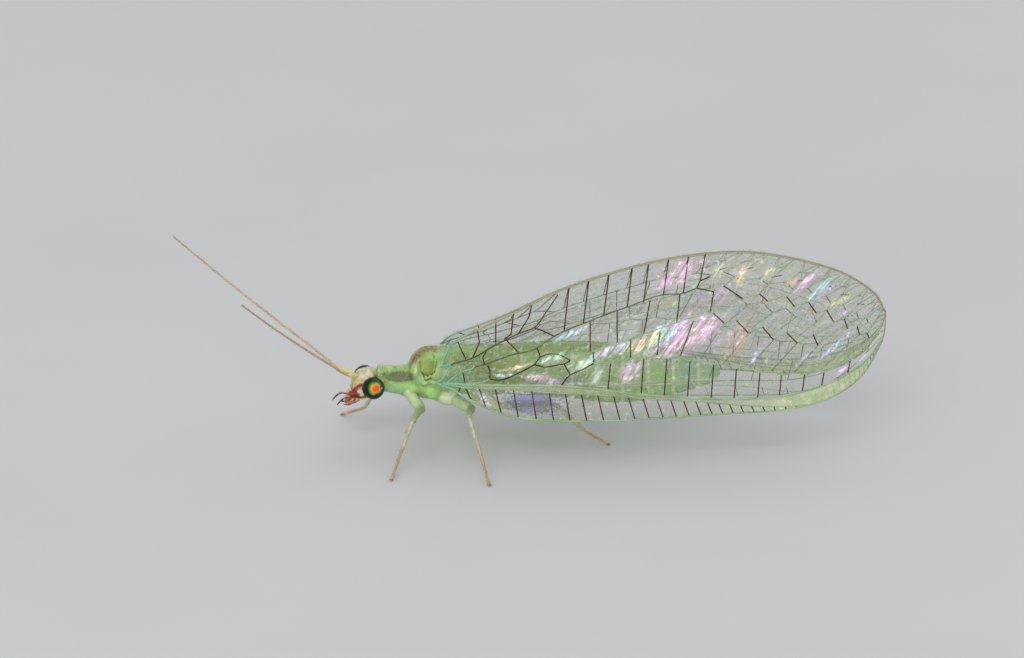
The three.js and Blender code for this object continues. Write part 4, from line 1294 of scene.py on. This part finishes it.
def membrane_material(name, clear, gleam):
    material, tree = blank_material(name)
    inputs = {"Painted Sheen": kept_mark(tree, "painted_sheen"), "Hue": kept_mark(tree, "hue")}
    film = node(tree, "ShaderNodeGroup", inputs, node_tree=film_effect).outputs
    wrinkle = film["Wrinkle"]
    stigma, band = kept_mark(tree, "stigma"), kept_mark(tree, "band")
    # The painted shadow darkens the membrane there and makes it less clear.
    painted_shadow = mark_share(tree, "painted_shadow", lay_grain(tree)["Speckle"], 2.2)
    shadow_tone = shades(tree, wrinkle, [(0.4, "6360a0"), (0.56, "54525c")])
    green = shades(tree, wrinkle, [(0.35, "a9c27c"), (0.6, "d4dcb2")])
    colour = film["Veil And Painted Sheen"]
    for share, tone in ((band, "a9a982"), (stigma, green), (painted_shadow, shadow_tone)):
        colour = blend_in(tree, share, colour, tone)
    clouded = respan(tree, wrinkle, 0.35, 0.7, clear * 0.6, clear * 1.5)
    cover = calc(tree, "MULTIPLY_ADD", film["Cover"], gleam, clouded)
    cover = calc(tree, "MULTIPLY_ADD", painted_shadow, 0.42, cover)
    cover = calc(tree, "MULTIPLY_ADD", band, 0.35, cover)
    alpha = calc(tree, "MULTIPLY_ADD", stigma, 0.42, cover, use_clamp=True)
    # The painted reflections also glow a little, as painted light, though the membrane is no lamp.
    finish_surface(tree, Base_Color=colour, Alpha=alpha, Roughness=0.16, Emission_Color=film["Painted Glow"],
                   Emission_Strength=0.22, Normal=raised(tree, wrinkle, 0.06))
    return material


def vein_material():
    material, tree = blank_material("wing_veins")
    grain = lay_grain(tree, 1.4, 50.0)
    colour = shades(tree, grain["Cloud"], [(0.3, "84a079"), (0.5, "97b088"), (0.7, "aec0a0")])
    colour = blend_in(tree, kept_mark(tree, "margin"), colour, "a4a284")
    colour = blend_in(tree, kept_mark(tree, "teal"), colour, "7fbca0")
    colour = lay_marks(tree, colour, grain["Speckle"], [("dark", "38200a", 0.25)])
    finish_surface(tree, Base_Color=colour, Roughness=0.5, Specular_IOR_Level=0.06)
    return material


def rise(values, start, width):
    """0 up to the start and 1 from a width on. A negative width turns it round."""
    return np.clip((values - start) / width, 0, 1)


def stigma_mark(span, chord):
    """The thickened green stretch between the radius and the front margin near the tip."""
    front = smooth_between(radius_vein, span)[:, 0] * 0.96
    return rise(span, 0.52, 0.2) * rise(span, 0.99, -0.07) * rise(chord, front, -0.012)


def band_mark(span, chord):
    """The tinted strip between the subcosta and the radius."""
    front, hind = (smooth_between(vein, span)[:, 0] for vein in (subcosta, radius_vein))
    along = rise(span, 0.05, 0.05) * rise(span, 0.66, -0.12)
    return along * rise(chord, front, 0.01) * rise(chord, hind, -0.01)


def dress_wings(wing, place, grid, thickness, film, net, shift, tinted, seed):
    """The membranes and veins of a pair. Grid is the sheet's columns and rows."""
    for side, name in left_right:
        sheet, faces, plan = membrane_mesh(side, place, *grid, thickness)
        marks = gleam_marks(plan, side, shift)
        marks["stigma"] = stigma_mark(*plan.T) * tinted
        marks["band"] = band_mark(*plan.T) * tinted
        make_piece(f"{wing}_membrane_{name}", sheet, faces, film,
                   (f"{wing}_{name}",), marks, plan)
        tubes, faces, tones = vein_mesh(net, side, place, seed + side)
        make_piece(f"{wing}_veins_{name}", tubes, faces, vein_finish,
                   (f"{wing}_{name}",), tones, tidy=False)


membrane_thickness = 0.024
membrane_finish = membrane_material("clear_membrane", 0.065, 0.85)
vein_finish = vein_material()
dress_wings("forewing", roof_at, (240, 78), membrane_thickness, membrane_finish, forewing_net(),
            shift=0.0, tinted=True, seed=11)

# The hindwings: narrower and paler, tucked under the forewings with a few regular cross veins.
# They reach almost as far as the forewings do, and hinge on the last thoracic ring.
hind_from, hind_to = 0.08, 0.93
hind_fine = 0.01
hind_low = [(0.0, 0.36), (0.1, 0.33), (0.3, 0.25), (0.5, 0.16), (0.7, 0.1), (0.88, 0.12), (1.0, 0.26)]
hind_high = [(0.0, 0.52), (0.08, 0.68), (0.2, 0.78), (0.5, 0.84), (0.75, 0.8), (0.9, 0.66), (1.0, 0.4)]
hind_depth = [(0.0, 0.34), (0.2, 0.4), (0.6, 0.38), (1.0, 0.24)]


def hindwing_at(span, chord):
    low, high, depth = (smooth_between(stops, span)[:, 0] for stops in (hind_low, hind_high, hind_depth))
    place = hind_from + (hind_to - hind_from) * span
    return roof_at(place, low + (high - low) * chord, depth)


def hindwing_net():
    radius_line = [(0.02, 0.2), (0.2, 0.14), (0.6, 0.14), (0.85, 0.18), (1.0, 0.3)]
    sector = [(0.1, 0.22), (0.2, 0.34), (0.45, 0.38), (0.75, 0.36), (1.0, 0.5)]
    media = [(0.02, 0.3), (0.25, 0.55), (0.5, 0.62), (0.7, 0.7), (0.78, 0.98)]
    net = [(line, radius, dark, False) for line, radius, dark in [
        ([(0.0, 0.0), (0.3, 0.0), (0.7, 0.0), (1.0, 0.0)], thin, 0.05),
        ([(0.0, 1.0), (0.3, 1.0), (0.7, 1.0), (1.0, 1.0)], faint, 0.1),
        ([(1.0, 0.0), (1.0, 0.5), (1.0, 1.0)], faint, 0.1),
        ([(0.0, 0.12), (0.3, 0.09), (0.7, 0.07), (0.8, 0.0)], faint, 0.05),
        (radius_line, thin, 0.05), (sector, faint, 0.1), (media, faint, 0.1),
        ([(0.02, 0.5), (0.15, 0.8), (0.3, 0.98)], faint, 0.1)]]
    for foot in 0.06 + 0.054 * np.arange(14):
        lay(net, hind_fine, 0.6, [(foot - 0.005, 0.08), (foot, 0.0)])
    for foot in 0.2 + 0.08 * np.arange(8):
        top = foot + 0.012
        lay(net, hind_fine, 0.6, [(foot, value_on(radius_line, foot)), (top, value_on(sector, top))])
    for k in range(7):
        foot = 0.22 + 0.1 * k
        bend = (foot + 0.05, 0.64)
        lay(net, hind_fine, 0.1, [(foot, value_on(sector, foot)), bend, (min(foot + 0.1, 1.0), 0.99)])
        if k < 6:
            lay(net, hind_fine, 0.4, [bend, (foot + 0.088, 0.58)])
    return net


hind_film = membrane_material("hind_membrane", 0.02, 0.3)
dress_wings("hindwing", hindwing_at, (130, 36), membrane_thickness * 0.8, hind_film, hindwing_net(),
            shift=0.07, tinted=False, seed=31)
